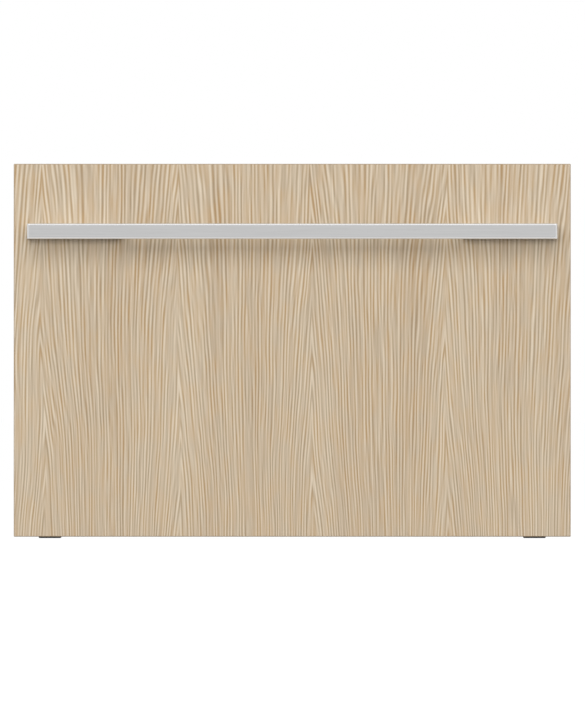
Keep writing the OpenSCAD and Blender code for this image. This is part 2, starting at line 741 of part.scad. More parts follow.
// Blocks on the chassis sides that keep the lid pins upright and carry the yokes
module lid_guides() color("dimgray") at_front() for (s = [-1, 1], y = lid_pin_ys) on_side(s)
    difference() {
        union() {
            block([guide_x, y - guide_half_l, yoke_z - seat_gap - 5],
                [side_x, y + guide_half_l, yoke_z + yoke_h + seat_gap + 4]);
            block([guide_x - guide_ledge, y - guide_half_l, yoke_z - seat_gap - 5],
                [guide_x, y + guide_half_l, yoke_z - seat_gap]);
            block([guide_x - guide_ledge, y - guide_half_l, yoke_z + yoke_h + seat_gap],
                [guide_x, y + guide_half_l, yoke_z + yoke_h + seat_gap + 4]);
        }
        block([guide_x - over, y - lid_pin_r - slot_gap, lid_pin_z - lid_drop - lid_pin_r - 0.5],
            [guide_x + 6.5, y + lid_pin_r + slot_gap, lid_pin_z + lid_pin_r + 0.5]);
    }

// The slot slopes at 45 degrees, so the lid drops as far as the yoke slides back
module sloping_slot(y, z) {
    run = lid_drop * sqrt(2);
    r = lid_pin_r + slot_gap;
    translate([y, z]) rotate(45) translate([-run / 2, 0]) rounded_rect(run + 2 * r, 2 * r, r - 0.01);
}

// A rack tooth under the yoke, reaching up into its plate
module rack_tooth(y) {
    a = tan(20);
    half = (PI * gear_module / 2 - backlash) / 2;
    tip = half - gear_module * a;
    root = half + 1.25 * gear_module * a;
    polygon([[y - root, yoke_z], [y - tip, rack_pitch_z - gear_module],
        [y + tip, rack_pitch_z - gear_module], [y + root, yoke_z],
        [y + root, yoke_z + 0.5], [y - root, yoke_z + 0.5]]);
}

module yoke(s) color("steelblue") at_front() on_side(s) along_x(yoke_x, yoke_t) difference() {
    union() {
        translate([yoke_y0, yoke_z]) square([yoke_y1 - yoke_y0, yoke_h]);
        for (k = [-5 : 1]) rack_tooth(pinion_y + k * PI * gear_module);
    }
    for (y = lid_pin_ys) sloping_slot(y, lid_pin_z);
    for (k = [0 : 2]) translate([lid_pin_ys[0] + 90 + 95 * k, yoke_z + yoke_h / 2])
        rounded_rect(60, 12, 5.9);
}

// Half angle of a pinion tooth at radius r, on an involute with a 20 degree pressure angle
function involute(a) = tan(a) * 180 / PI - a;
function tooth_half(r) = ((PI * gear_module / 2 - backlash) / 2) / pinion_r * 180 / PI
    + involute(20) - involute(acos(min(1, pinion_r * cos(20) / r)));
function polar(r, a) = [r * cos(a), r * sin(a)];
tooth_rs = [for (k = [0 : 5]) max(pinion_r * cos(20), pinion_r - 1.25 * gear_module)
    + k / 5 * (pinion_r + gear_module - pinion_r * cos(20))];

module pinion_outline() {
    root_r = pinion_r - 1.25 * gear_module;
    polygon([for (i = [0 : pinion_teeth - 1]) let (mid = 90 + (i + 0.5) * 360 / pinion_teeth)
        each concat(
            [polar(root_r, mid - tooth_half(tooth_rs[0]))],
            [for (k = [0 : 5]) polar(tooth_rs[k], mid - tooth_half(tooth_rs[k]))],
            [for (k = [5 : -1 : 0]) polar(tooth_rs[k], mid + tooth_half(tooth_rs[k]))],
            [polar(root_r, mid + tooth_half(tooth_rs[0]))])]);
}

module pinion(s) color("white") at_front() on_side(s) {
    along_x(yoke_x, yoke_t) translate([pinion_y, pinion_z]) pinion_outline();
    bar_x([yoke_x - 6, pinion_y, pinion_z], 3, 7);
}

// A small gearmotor behind the tub, on the back sheet, with its shaft towards the chassis side
module lid_motor(s) color("dimgray") at_front() on_side(s) {
    x1 = yoke_x - lid_motor_gap;
    y0 = back_y - 31;
    difference() {
        block([x1 - lid_motor_w, y0, pinion_z - 14], [x1, back_y, pinion_z + 24]);
        bar_x([x1 - 8, pinion_y, pinion_z], 3 + run_gap, 8 + over);
    }
    bar_x([x1 - lid_motor_w - 26, y0 + 15.5, pinion_z + 6], 13, 26);
    bar_x([x1 - lid_motor_w - 30, y0 + 15.5, pinion_z + 6], 5, 5);
}

// ---------------------------------------------------------------- hose link

// An open channel from pivot to pivot along +X, with a boss at each end
module link_arm(far_eye) difference() {
    along_z(0, arm_h) {
        translate([arm_l / 2, 0]) square([arm_l, arm_w], center = true);
        circle(arm_end_r);
        translate([arm_l, 0]) circle(far_eye ? eye_r + eye_wall : arm_end_r);
    }
    block([arm_end_r + 4, -arm_w / 2 + arm_wall, arm_wall],
        [arm_l - arm_end_r - 4 - (far_eye ? link_play : 0), arm_w / 2 - arm_wall, arm_h + over]);
    bar_z([0, 0, -over], link_pin_r + run_gap, arm_h + 2 * over);
    bar_z([arm_l, 0, -over], far_eye ? eye_r : link_pin_r + run_gap, arm_h + 2 * over);
}

module rear_link_arm() color("gray") at_front() translate([link_x, link_y, rear_arm_z])
    link_arm(false);

// This arm also carries the elbow pin, which hangs down into the rear arm
module front_link_arm() color("gray") at_front() translate([link_x + arm_l, link_y, front_arm_z]) {
    mirror([1, 0, 0]) link_arm(true);
    bar_z([0, 0, -arm_step - arm_h], link_pin_r, arm_step + 2 * arm_h);
    bar_z([0, 0, -arm_step + seat_gap], arm_end_r - 2, arm_step - seat_gap);
}

module link_hose(l) bar_x([arm_end_r + 6, 0, arm_wall + hose_r], hose_r, l);

module rear_link_hose() color("lightgray") at_front() translate([link_x, link_y, rear_arm_z])
    link_hose(arm_l - 2 * arm_end_r - 12);

module front_link_hose() color("lightgray") at_front()
    translate([link_x + arm_l, link_y, front_arm_z]) mirror([1, 0, 0])
        link_hose(arm_l - 2 * arm_end_r - 14 - link_play);

// ---------------------------------------------------------------- tub

// A basin with round upright corners and a round edge to its floor, from y 0 to l
module basin(w, l, z0, z1, corner_r, floor_r) intersection() {
    along_z(z0, z1 - z0) translate([0, l / 2]) rounded_rect(w, l, corner_r);
    along_y(0, l) round_bottomed(w, z0, z1, floor_r);
    along_x(-w / 2, w) translate([l / 2, 0]) round_bottomed(l, z0, z1, floor_r);
}

boss_ys = [tub_y0 + 0.12 * tub_l, tub_y0 + 0.38 * tub_l, tub_y0 + 0.62 * tub_l, tub_y0 + 0.88 * tub_l];
ledge_zs = [basket_floor_z - wire_r - wire_gap - ledge_t, basket_floor_z - wire_r - wire_gap];

module tub() color("gainsboro") at_front() difference() {
    union() {
        difference() {
            union() {
                translate([0, tub_y0, 0])
                    basin(tub_w, tub_l, tub_base_z, rim_z, tub_corner_r, tub_floor_r);
                along_z(rim_z - rim_t, rim_t) lid_outline(0);
                bar_z([0, tub_mid_y, sump_z], sump_r + 4, tub_base_z - sump_z + 1);
            }
            translate([0, tub_in_y0, 0]) basin(tub_in_w, tub_in_l, tub_in_z, rim_z + over,
                tub_corner_r - tub_wall, tub_floor_r - tub_wall);
            bar_z([0, tub_mid_y, sump_z + sump_floor_t], sump_r, tub_floor_t + sump_drop);
        }
        // Ledges that the basket stands on
        for (s = [-1, 1], k = [1, cross_wires - 2]) on_side(s)
            block([tub_in_w / 2 - 26, basket_y0 + 18 + cross_pitch * k - 9, ledge_zs[0]],
                [tub_in_w / 2 + 1, basket_y0 + 18 + cross_pitch * k + 9, ledge_zs[1]]);
        // Bosses that the slides are screwed to
        for (s = [-1, 1], y = boss_ys) on_side(s)
            block([tub_w / 2 - 1, y - 14, slide_z - inner_half],
                [tub_w / 2 + tub_boss_l, y + 14, slide_z + inner_half]);
        // Bosses that the front carrier is screwed to
        for (x = [-0.37 * tub_w, 0, 0.37 * tub_w], z = [tub_base_z + 58, rim_z - 40])
            bar_y([x, carrier_back_y, z], 8, tub_y0 - carrier_back_y + 1);
        // Bracket and pin for the hose link
        block([link_x - 9, tub_y0 + tub_l - 1, front_arm_z + arm_h + 1.2],
            [link_x + 9, link_y + 5, front_arm_z + arm_h + 4.2]);
        bar_z([link_x, link_y, front_arm_z + seat_gap], link_pin_r, arm_h + 2);
    }
    bar_z([0, tub_mid_y, sump_z - over], shaft_r + seat_gap, sump_floor_t + 2 * over);
}

// ---------------------------------------------------------------- front of the drawer

module door_carrier() color("dimgray") at_front() {
    cavity_y = carrier_back_y - 2;
    difference() {
        block([-carrier_w / 2, panel_back_y, carrier_z0], [carrier_w / 2, carrier_back_y, carrier_z1]);
        block([-carrier_w / 2 + carrier_wall, panel_back_y - over, carrier_z0 + carrier_wall],
            [carrier_w / 2 - carrier_wall, cavity_y, carrier_z1 - carrier_wall]);
        // Window that the buttons drop through
        block([button_x0 - 12, strip_y - strip_d / 2 + 2, carrier_z1 - carrier_wall - over],
            [button_x0 + 2 * button_pitch + 12, strip_y + strip_d / 2 - 2, carrier_z1 + over]);
    }
    for (x = [-0.33 * carrier_w, 0.4 * carrier_w])
        block([x - 1.25, panel_back_y + 6, carrier_z0 + carrier_wall],
            [x + 1.25, cavity_y, carrier_z1 - carrier_wall]);
    block([-carrier_w / 2 + carrier_wall, panel_back_y + 8, 0.55 * chassis_h],
        [carrier_w / 2 - carrier_wall, cavity_y, 0.55 * chassis_h + 2.5]);
    for (s = [-1, 1], z = bracket_zs)
        bar_y([s * 0.24 * panel_w, panel_back_y + bracket_t, z], 7, carrier_d - bracket_t - 1);
    // Posts that the button board hangs from
    for (x = [button_x0 - 18, button_x0 + 2 * button_pitch + 18])
        bar_z([x, strip_y, board_z + board_t], 3, carrier_z1 - carrier_wall - board_z - board_t + 0.5);
}

// One sheet of veneered board, with pilot holes from behind
module wood_panel() color("burlywood") at_front() difference() {
    translate([0, panel_back_y - panel_t / 2, panel_floor_gap + panel_h / 2])
        bevelled_block([panel_w, panel_t, panel_h], panel_bevel);
    for (x = panel_screw_xs, z = bracket_zs)
        bar_y([x, panel_back_y - wood_screw_l + bracket_t - 0.5, z],
            wood_screw_r + run_gap, wood_screw_l + over);
    handle_screw_places()
        bar_y([0, panel_front_y - over, 0], handle_screw_r + seat_gap, panel_t + 2 * over);
}

module handle_screw_places() for (s = [-1, 1], k = [1, 3])
    translate([s * (handle_l / 2 - k * post_screw_inset), 0, handle_z]) children();

module handle_bar() color("lightsteelblue") at_front()
    translate([0, bar_back_y - bar_t / 2, handle_z])
        bevelled_block([handle_l, bar_t, handle_h], handle_bevel);

module handle_posts() color("lightsteelblue") at_front() difference() {
    for (s = [-1, 1])
        translate([s * (handle_l - post_w) / 2, 0, 0])
            along_y(bar_back_y, panel_front_y - bar_back_y) translate([0, handle_z])
                bevelled_rect(post_w, handle_h, handle_bevel);
    handle_screw_places() bar_y([0, panel_front_y - 15.5, 0], handle_screw_r + run_gap, 15.5 + over);
}

// Steel strips screwed to the back of the panel, which hang on the carrier's bosses
module panel_brackets() color("lightgray") at_front() for (z = bracket_zs) difference() {
    block([-bracket_w / 2, panel_back_y, z - bracket_h / 2],
        [bracket_w / 2, panel_back_y + bracket_t, z + bracket_h / 2]);
    for (x = panel_screw_xs)
        bar_y([x, panel_back_y - over, z], wood_screw_r + run_gap, bracket_t + 2 * over);
}

module drawer_screws() color("gray") at_front() {
    for (x = panel_screw_xs, z = bracket_zs) {
        bar_y([x, panel_back_y + bracket_t, z], screw_head_r, screw_head_t);
        bar_y([x, panel_back_y + bracket_t - wood_screw_l, z], wood_screw_r, wood_screw_l);
    }
    handle_screw_places() {
        bar_y([0, panel_back_y, 0], screw_head_r, screw_head_t);
        bar_y([0, panel_front_y - 15, 0], handle_screw_r, 15 + panel_t);
    }
}

module control_strip() color("black") at_front() difference() {
    translate([0, strip_y, 0]) along_z(strip_z, strip_t) rounded_rect(strip_w, strip_d, 3);
    for (k = [0 : 2])
        bar_z([button_x0 + k * button_pitch, strip_y, strip_z - over],
            button_r + run_gap, strip_t + 2 * over);
    block([button_x0 + 2.4 * button_pitch, strip_y - 6, strip_z + strip_t - 0.6],
        [button_x0 + 3.4 * button_pitch, strip_y + 6, strip_z + strip_t + over]);
}

// The controller's case low in the carrier, and the board under the buttons
module controller_module() color("darkslategray") at_front() {
    case_y = carrier_back_y - 2;
    x0 = -controller_w / 2;
    block([x0, case_y - 13, carrier_z0 + 22], [-x0, case_y, carrier_z0 + 102]);
    for (k = [0 : 4]) block([x0 + 14 + 30 * k, case_y - 15, carrier_z0 + 28],
        [x0 + 32 + 30 * k, case_y - 12, carrier_z0 + 42]);
    block([button_x0 - 22, strip_y - 7, board_z],
        [button_x0 + 2 * button_pitch + 22, strip_y + 7, board_z + board_t]);
    for (k = [0 : 2]) block([button_x0 + k * button_pitch - 3, strip_y - 3, board_z + board_t - 0.2],
        [button_x0 + k * button_pitch + 3, strip_y + 3, switch_top_z]);
}

module push_button(k) color("silver") at_front() translate([button_x0 + k * button_pitch, strip_y, 0]) {
    bar_z([0, 0, button_flange_z], button_r, strip_z + strip_t + button_proud - button_flange_z);
    bar_z([0, 0, button_flange_z], button_r + 1.8, flange_t);
}

// ---------------------------------------------------------------- dispenser

module dispenser_body() color("lightgray") at_front() difference() {
    union() {
        along_y(dispenser_y, dispenser_d) translate([0, dispenser_z0 + dispenser_h / 2])
            rounded_rect(dispenser_w, dispenser_h, 10);
        // Ears for the flap's pins, and the catch above it
        for (x = [flap_x0 - 4, flap_x0 + flap_w + 0.5])
            block([x, dispenser_face_y - 1, flap_hinge_z - 3.5],
                [x + 3.5, flap_hinge_y + 3, flap_hinge_z + 3.5]);
        block([flap_x0 + flap_w / 2 - 7, dispenser_face_y - 1, flap_hinge_z + flap_h + seat_gap],
            [flap_x0 + flap_w / 2 + 7, dispenser_face_y + 5, flap_hinge_z + flap_h + 5]);
    }
    // Detergent cup
    translate([flap_x0 + flap_w / 2, 0]) along_y(dispenser_y + 5, dispenser_d)
        translate([0, flap_hinge_z + flap_h / 2]) rounded_rect(flap_w - 10, flap_h - 12, 8);
    bar_y([rinse_x, dispenser_face_y - 8, rinse_z], rinse_stem_r + run_gap, 8 + over);
    for (x = [flap_x0 - 4 - over, flap_x0 + flap_w])
        bar_x([x, flap_hinge_y, flap_hinge_z], flap_pin_r + run_gap, 5.5);
}

module detergent_flap() color("silver") at_front() {
    block([flap_x0, dispenser_face_y + seat_gap, flap_hinge_z],
        [flap_x0 + flap_w, dispenser_face_y + seat_gap + flap_t, flap_hinge_z + flap_h]);
    bar_x([flap_x0, flap_hinge_y, flap_hinge_z], barrel_r, flap_w);
    bar_x([flap_x0 - 3.8, flap_hinge_y, flap_hinge_z], flap_pin_r, flap_w + 7.6);
    grip_y = dispenser_face_y + seat_gap + flap_t;
    block([flap_x0 + flap_w / 2 - 12, grip_y - 0.5, flap_hinge_z + flap_h - 12],
        [flap_x0 + flap_w / 2 + 12, grip_y + 4, flap_hinge_z + flap_h - 8]);
}

module rinse_cap() color("gray") at_front() {
    bar_y([rinse_x, dispenser_face_y + seat_gap, rinse_z], rinse_cap_r, 4);
    bar_y([rinse_x, dispenser_face_y - 7.5, rinse_z], rinse_stem_r, 8);
    block([rinse_x - rinse_cap_r + 3, dispenser_face_y + 4, rinse_z - 3],
        [rinse_x + rinse_cap_r - 3, dispenser_face_y + 9, rinse_z + 3]);
}

// ---------------------------------------------------------------- basket

// A wire bent up at both ends, in the plane of X and Z, w wide between its legs' middles
module u_wire(w, z, top) {
    for (s = [-1, 1]) on_side(s) {
        bar_z([w / 2, 0, z + wire_bend_r], wire_r, top - z - wire_bend_r);
        translate([w / 2 - wire_bend_r, 0, z + wire_bend_r]) rotate([90, 0, 0])
            rotate([0, 0, -90]) rotate_extrude(angle = 90) translate([wire_bend_r, 0]) circle(wire_r);
    }
    bar_x([-w / 2 + wire_bend_r, 0, z], wire_r, w - 2 * wire_bend_r);
}

// A closed wire with round corners, in a level plane
module wire_ring(w, d, z) translate([0, 0, z]) {
    for (k = [0, 1]) rotate([0, 0, 180 * k]) {
        bar_x([-w / 2 + ring_corner_r, -d / 2, 0], wire_r, w - 2 * ring_corner_r);
        bar_y([w / 2, -d / 2 + ring_corner_r, 0], wire_r, d - 2 * ring_corner_r);
        translate([w / 2 - ring_corner_r, d / 2 - ring_corner_r, 0]) rotate_extrude(angle = 90)
            translate([ring_corner_r, 0]) circle(wire_r);
        translate([w / 2 - ring_corner_r, -d / 2 + ring_corner_r, 0]) rotate([0, 0, -90])
            rotate_extrude(angle = 90) translate([ring_corner_r, 0]) circle(wire_r);
    }
}

function cross_wire_y(k) = basket_y0 + 18 + cross_pitch * k;
function long_wire_x(k) = -basket_w / 2 + 26 + long_pitch * k;
tine_clip_ks = [1, (long_wires - 1) / 2, long_wires - 2];

// Clips that the tine wires turn in, standing on the long wires
module tine_clips(y) for (k = tine_clip_ks) difference() {
    block([long_wire_x(k) - 4, y - clip_r, wire_top_z + wire_gap],
        [long_wire_x(k) + 4, y + clip_r, tine_pivot_z + clip_r - 1]);
    bar_x([long_wire_x(k) - 4 - over, y, tine_pivot_z], pivot_r + run_gap, 8 + 2 * over);
}

// Clips on the basket's side legs that a cup rack hangs in
module rack_clips_on(s) for (k = rack_clips) on_side(s) difference() {
    block([rack_hinge_x - 3.5, cross_wire_y(k) - 4.5, leg_top_z - 10],
        [basket_w / 2 - wire_r - wire_gap, cross_wire_y(k) + 4.5, rack_hinge_z + 5]);
    bar_y([rack_hinge_x, cross_wire_y(k) - 4.5 - over, rack_hinge_z], pivot_r + run_gap, 9 + 2 * over);
}

module basket() color("white") at_front() {
    for (k = [0 : cross_wires - 1]) translate([0, cross_wire_y(k), 0])
        u_wire(basket_w, basket_floor_z, leg_top_z);
    for (k = [0 : long_wires - 1]) translate([long_wire_x(k), basket_y0 + basket_d / 2, 0])
        rotate([0, 0, 90]) u_wire(basket_d, long_wire_z, leg_top_z);
    for (z = [rim_wire_z, basket_floor_z + 0.5 * basket_h]) translate([0, basket_y0 + basket_d / 2, 0])
        wire_ring(basket_w + 2 * ring_out, basket_d + 2 * ring_out, z);
    tine_clips(front_tine_y);
    tine_clips(rear_tine_y);
    rack_clips_on(-1);
    rack_clips_on(1);
}

// A row of tines on a wire that turns in the clips
module tine_row(y) color("white") at_front() {
    bar_x([long_wire_x(0) + 8, y, tine_pivot_z], pivot_r, long_pitch * (long_wires - 1) - 16);
    for (k = [0 : long_wires - 2])
        bar_z([long_wire_x(k + 0.5), y, tine_pivot_z], tine_r, tine_l);
}

// A grid that stands up beside the basket and folds down over it, drawn for the right side
module cup_rack(s) color("lightgray") at_front() on_side(s) {
    cols = 8;
    rows = 3;
    cell_l = (cup_rack_l - 8) / cols;
    cell_h = (cup_rack_reach - 14) / rows;
    along_x(rack_hinge_x - cup_rack_t / 2, cup_rack_t) difference() {
        translate([rack_y0, rack_hinge_z]) square([cup_rack_l, cup_rack_reach]);
        for (i = [0 : cols - 1], j = [0 : rows - 1])
            translate([rack_y0 + 6 + cell_l * i, rack_hinge_z + 12 + cell_h * j])
                square([cell_l - 4, cell_h - 4]);
        for (k = rack_clips)
            translate([cross_wire_y(k) - 6, rack_hinge_z - over]) square([12, 10 + over]);
    }
    bar_y([rack_hinge_x, cross_wire_y(rack_clips[0]) - 6, rack_hinge_z], pivot_r,
        cross_wire_y(rack_clips[2]) - cross_wire_y(rack_clips[0]) + 12);
}

module cutlery_basket() color("lightgray") at_front() {
    y0 = cutlery_y1 - cutlery_d;
    z0 = wire_top_z + wire_gap;
    cell = (cutlery_w - cutlery_wall) / cutlery_cells;
    difference() {
        block([cutlery_x0, y0, z0], [cutlery_x0 + cutlery_w, cutlery_y1, z0 + cutlery_h]);
        for (k = [0 : cutlery_cells - 1]) {
            x = cutlery_x0 + cutlery_wall + cell * k;
            block([x, y0 + cutlery_wall, z0 + cutlery_wall],
                [x + cell - cutlery_wall, cutlery_y1 - cutlery_wall, z0 + cutlery_h + over]);
            for (i = [0 : 2]) {
                slot_x = x + (cell - cutlery_wall) * (i + 0.5) / 3 - 3;
                block([slot_x, y0 - over, z0 + 10],
                    [slot_x + 6, cutlery_y1 + over, z0 + 0.75 * cutlery_h]);
                block([slot_x, y0 + 8, z0 - over],
                    [slot_x + 6, cutlery_y1 - 8, z0 + cutlery_wall + over]);
            }
        }
    }
}

// ---------------------------------------------------------------- wash system

module spray_arm() color("silver") at_front() translate([0, tub_mid_y, 0]) difference() {
    union() {
        along_z(spray_z, spray_h) {
            rounded_rect(2 * spray_reach, spray_w, spray_w / 2 - 1);
            circle(spray_w / 2 + 9);
        }
        bar_z([0, 0, spray_z + spray_h], spray_w / 2 - 3, 3);
        bar_z([0, 0, filter_z + filter_t + 1.5], riser_r + 5, spray_z - filter_z - filter_t);
    }
    bar_z([0, 0, filter_z + filter_t], riser_r + 3 * run_gap,
        spray_z + spray_h - 3 - filter_z - filter_t);
    for (s = [-1, 1], k = [1 : 5])
        bar_z([s * spray_reach * k / 5.6, s * (k % 2 == 0 ? 9 : -9), spray_z + spray_h / 2], 2, spray_h);
}

module filter_plate() color("gray") at_front() translate([0, tub_mid_y, 0]) {
    difference() {
        along_z(filter_z, filter_t) circle(filter_r);
        bar_z([0, 0, filter_z - over], riser_r - 4, filter_t + 2 * over);
        bar_z([drain_filter_x, 0, filter_z - over], drain_filter_r + seat_gap, filter_t + 2 * over);
        for (ring = [0 : 3]) {
            r = sump_r + 14 + ring * 20;
            n = 18 + 6 * ring;
            if (r + filter_hole_r < filter_r - 2) for (k = [0 : n - 1])
                rotate([0, 0, 360 / n * k]) translate([r, 0, filter_z - over])
                    cylinder(r = filter_hole_r, h = filter_t + 2 * over, $fn = 16);
        }
    }
    difference() {
        bar_z([0, 0, filter_z + filter_t - 0.5], riser_r, spray_z + spray_h - 4 - filter_z - filter_t);
        bar_z([0, 0, filter_z], riser_r - 4, spray_z);
    }
}

// The lift-out filter, with a grip to turn it by
module drain_filter() color("gray") at_front() translate([drain_filter_x, tub_mid_y, 0]) {
    difference() {
        bar_z([0, 0, sump_z + sump_floor_t + seat_gap], drain_filter_r,
            filter_z + filter_t + 1.5 - sump_z - sump_floor_t);
        bar_z([0, 0, sump_z + sump_floor_t + 2], drain_filter_r - 2,
            filter_z - sump_z - sump_floor_t - 2);
        for (a = [0 : 45 : 315]) rotate([0, 0, a])
            block([drain_filter_r - 4, -2, sump_z + sump_floor_t + 3],
                [drain_filter_r + 2, 2, filter_z - 2]);
    }
    block([-drain_filter_r + 4, -2, filter_z + filter_t + 1],
        [drain_filter_r - 4, 2, filter_z + filter_t + 7]);
}

module motor_housing() color("dimgray") at_front() translate([0, tub_mid_y, 0]) {
    difference() {
        bar_z([0, 0, motor_z], motor_r, motor_h);
        bar_z([0, 0, motor_z + motor_wall], motor_r - motor_wall, motor_h);
        bar_z([0, 0, motor_z + 0.7], shaft_r + run_gap, motor_wall);
    }
    // Drain pump outlet on the side of the housing
    difference() {
        union() {
            bar_z([motor_r + 12, 0, motor_z + 2], 18, motor_h - 4);
            bar_y([motor_r + 12, 8, motor_z + motor_h / 2], 9, 50);
        }
        bar_z([0, 0, motor_z + motor_wall], motor_r - motor_wall, motor_h);
        bar_y([motor_r + 12, 20, motor_z + motor_h / 2], 7, 40);
    }
}

module motor_stator() color("chocolate") at_front()
    translate([0, tub_mid_y, motor_z + motor_wall]) difference() {
        bar_z([0, 0, 0], motor_r - motor_wall - stator_gap, motor_h - motor_wall - 6);
        bar_z([0, 0, -over], motor_r - motor_wall - stator_gap - stator_w, motor_h);
        for (a = [0 : 30 : 330]) rotate([0, 0, a])
            block([motor_r - motor_wall - stator_gap - stator_w - over, -3, 5],
                [motor_r - motor_wall - stator_gap - stator_w / 4, 3, motor_h]);
    }

module motor_rotor() color("black") at_front() translate([0, tub_mid_y, 0]) {
    blade_z = sump_z + sump_floor_t + 1.5;
    rotor_r = motor_r - motor_wall - stator_gap - stator_w - 1;
    difference() {
        bar_z([0, 0, motor_z + motor_wall + 4], rotor_r, motor_h - motor_wall - 8);
        bar_z([0, 0, motor_z + motor_wall + 7], rotor_r - 8, motor_h);
    }
    bar_z([0, 0, motor_z + 0.8], shaft_r, blade_z - motor_z);
    bar_z([0, 0, blade_z], impeller_r, 2.5);
    for (a = [0 : 60 : 300]) rotate([0, 0, a])
        block([shaft_r, -1, blade_z + 2], [impeller_r - 2, 1, filter_z - 1.5]);
    bar_z([0, 0, blade_z], shaft_r + 2, filter_z - blade_z - 1.5);
}

// ---------------------------------------------------------------- nodes

chassis_side(-1);  // chassis_left_side
chassis_side(1);  // chassis_right_side
chassis_top();
chassis_back();
chassis_base();
drip_tray();
rubber_pads();
front_trim_seal();
outer_rail(-1);  // left_outer_rail
outer_rail(1);  // right_outer_rail
lid_motor(-1);  // left_lid_motor
lid_motor(1);  // right_lid_motor
lid_guides();
inlet_valve();
drain_outlet();
cable_gland();
chassis_screws();
lid_pan();
lid_seal();
yoke(-1);  // left_yoke
yoke(1);  // right_yoke
pinion(-1);  // left_pinion
pinion(1);  // right_pinion
middle_rail(-1);  // left_middle_rail
middle_rail(1);  // right_middle_rail
outer_ball_cages();
inner_ball_cages();
rear_link_arm();
front_link_arm();
rear_link_hose();
front_link_hose();
tub();
inner_rail(-1);  // left_inner_rail
inner_rail(1);  // right_inner_rail
door_carrier();
wood_panel();
handle_bar();
handle_posts();
panel_brackets();
drawer_screws();
control_strip();
controller_module();
dispenser_body();
basket();
cutlery_basket();
filter_plate();
motor_housing();
motor_stator();
push_button(0);  // power_button
push_button(1);  // program_button
push_button(2);  // start_button
detergent_flap();
rinse_cap();
cup_rack(-1);  // left_cup_rack
cup_rack(1);  // right_cup_rack
tine_row(front_tine_y);  // front_tines
tine_row(rear_tine_y);  // rear_tines
spray_arm();
drain_filter();
motor_rotor();
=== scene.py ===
import json
import math

import bpy
from mathutils import Matrix, Vector

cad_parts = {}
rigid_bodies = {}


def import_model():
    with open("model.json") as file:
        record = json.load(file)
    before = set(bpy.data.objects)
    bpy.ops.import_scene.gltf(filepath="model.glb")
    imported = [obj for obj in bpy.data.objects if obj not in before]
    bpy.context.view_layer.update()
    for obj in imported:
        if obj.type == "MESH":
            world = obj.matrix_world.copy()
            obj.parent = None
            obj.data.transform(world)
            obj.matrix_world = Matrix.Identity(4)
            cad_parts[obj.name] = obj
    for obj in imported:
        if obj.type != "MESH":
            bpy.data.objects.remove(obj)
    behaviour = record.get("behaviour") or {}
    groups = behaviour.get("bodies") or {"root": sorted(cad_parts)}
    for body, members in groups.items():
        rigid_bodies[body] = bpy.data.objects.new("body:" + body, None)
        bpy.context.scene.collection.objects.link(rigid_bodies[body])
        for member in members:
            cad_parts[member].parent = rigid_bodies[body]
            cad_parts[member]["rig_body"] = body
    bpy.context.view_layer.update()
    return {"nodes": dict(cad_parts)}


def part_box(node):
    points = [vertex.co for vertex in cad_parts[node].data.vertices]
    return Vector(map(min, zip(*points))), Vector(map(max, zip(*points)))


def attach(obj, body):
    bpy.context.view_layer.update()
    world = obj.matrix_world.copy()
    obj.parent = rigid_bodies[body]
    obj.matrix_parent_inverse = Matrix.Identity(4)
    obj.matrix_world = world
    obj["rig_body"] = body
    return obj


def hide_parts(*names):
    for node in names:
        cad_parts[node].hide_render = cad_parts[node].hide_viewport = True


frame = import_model()

# ---------------------------------------------------------------- chassis sheets
# The chassis is folded from hot-dip galvanised steel sheet, 1 mm thick, with beads pressed
# into its sides and top. The zinc has frozen into flat crystals, so it shows pale and dark
# flakes that each catch the light a little differently.


def linear(hex_code):
    """An sRGB colour as the linear colour that a shader takes."""
    parts = [int(hex_code[i:i + 2], 16) / 255 for i in (1, 3, 5)]
    return tuple(c / 12.92 if c <= 0.04045 else ((c + 0.055) / 1.055) ** 2.4
                 for c in parts) + (1.0,)


def add(finish, kind, inputs={}, **settings):
    """Adds one node to a finish, with its settings and what goes into it."""
    node = finish.node_tree.nodes.new(kind)
    for name, value in settings.items():
        setattr(node, name, value)
    for name, value in inputs.items():
        if isinstance(value, bpy.types.NodeSocket):
            finish.node_tree.links.new(value, node.inputs[name])
        else:
            node.inputs[name].default_value = value
    return node


def new_finish(name):
    """An empty material to build a finish in."""
    finish = bpy.data.materials.new(name)
    finish.use_nodes = True
    finish.node_tree.nodes.clear()
    return finish


def close_finish(finish, shader):
    """Joins the finish's shader to its output."""
    add(finish, "ShaderNodeOutputMaterial", {"Surface": shader.outputs["BSDF"]})
    return finish


def dress(finish, *nodes):
    """Gives CAD pieces their finish."""
    for node in nodes:
        mesh = frame["nodes"][node].data
        mesh.materials.clear()
        mesh.materials.append(finish)


SPANGLE = 0.011       # a zinc crystal is about 11 mm across

galvanised = new_finish("hot_dip_galvanised_steel")
place = add(galvanised, "ShaderNodeTexCoord").outputs["Object"]
# The crystals' borders wander within 6 mm, in waves of 17 mm
drift = add(galvanised, "ShaderNodeTexNoise", {"Vector": place, "Scale": 60.0, "Detail": 2.0})
bent = add(galvanised, "ShaderNodeVectorMath",
           {0: drift.outputs["Color"], 1: (0.006, 0.006, 0.006)}, operation="MULTIPLY")
moved = add(galvanised, "ShaderNodeVectorMath", {0: place, 1: bent.outputs[0]})
crystal = add(galvanised, "ShaderNodeTexVoronoi",
              {"Vector": moved.outputs[0], "Scale": 1 / SPANGLE, "Randomness": 1.0})
flake = add(galvanised, "ShaderNodeSeparateColor", {0: crystal.outputs["Color"]})
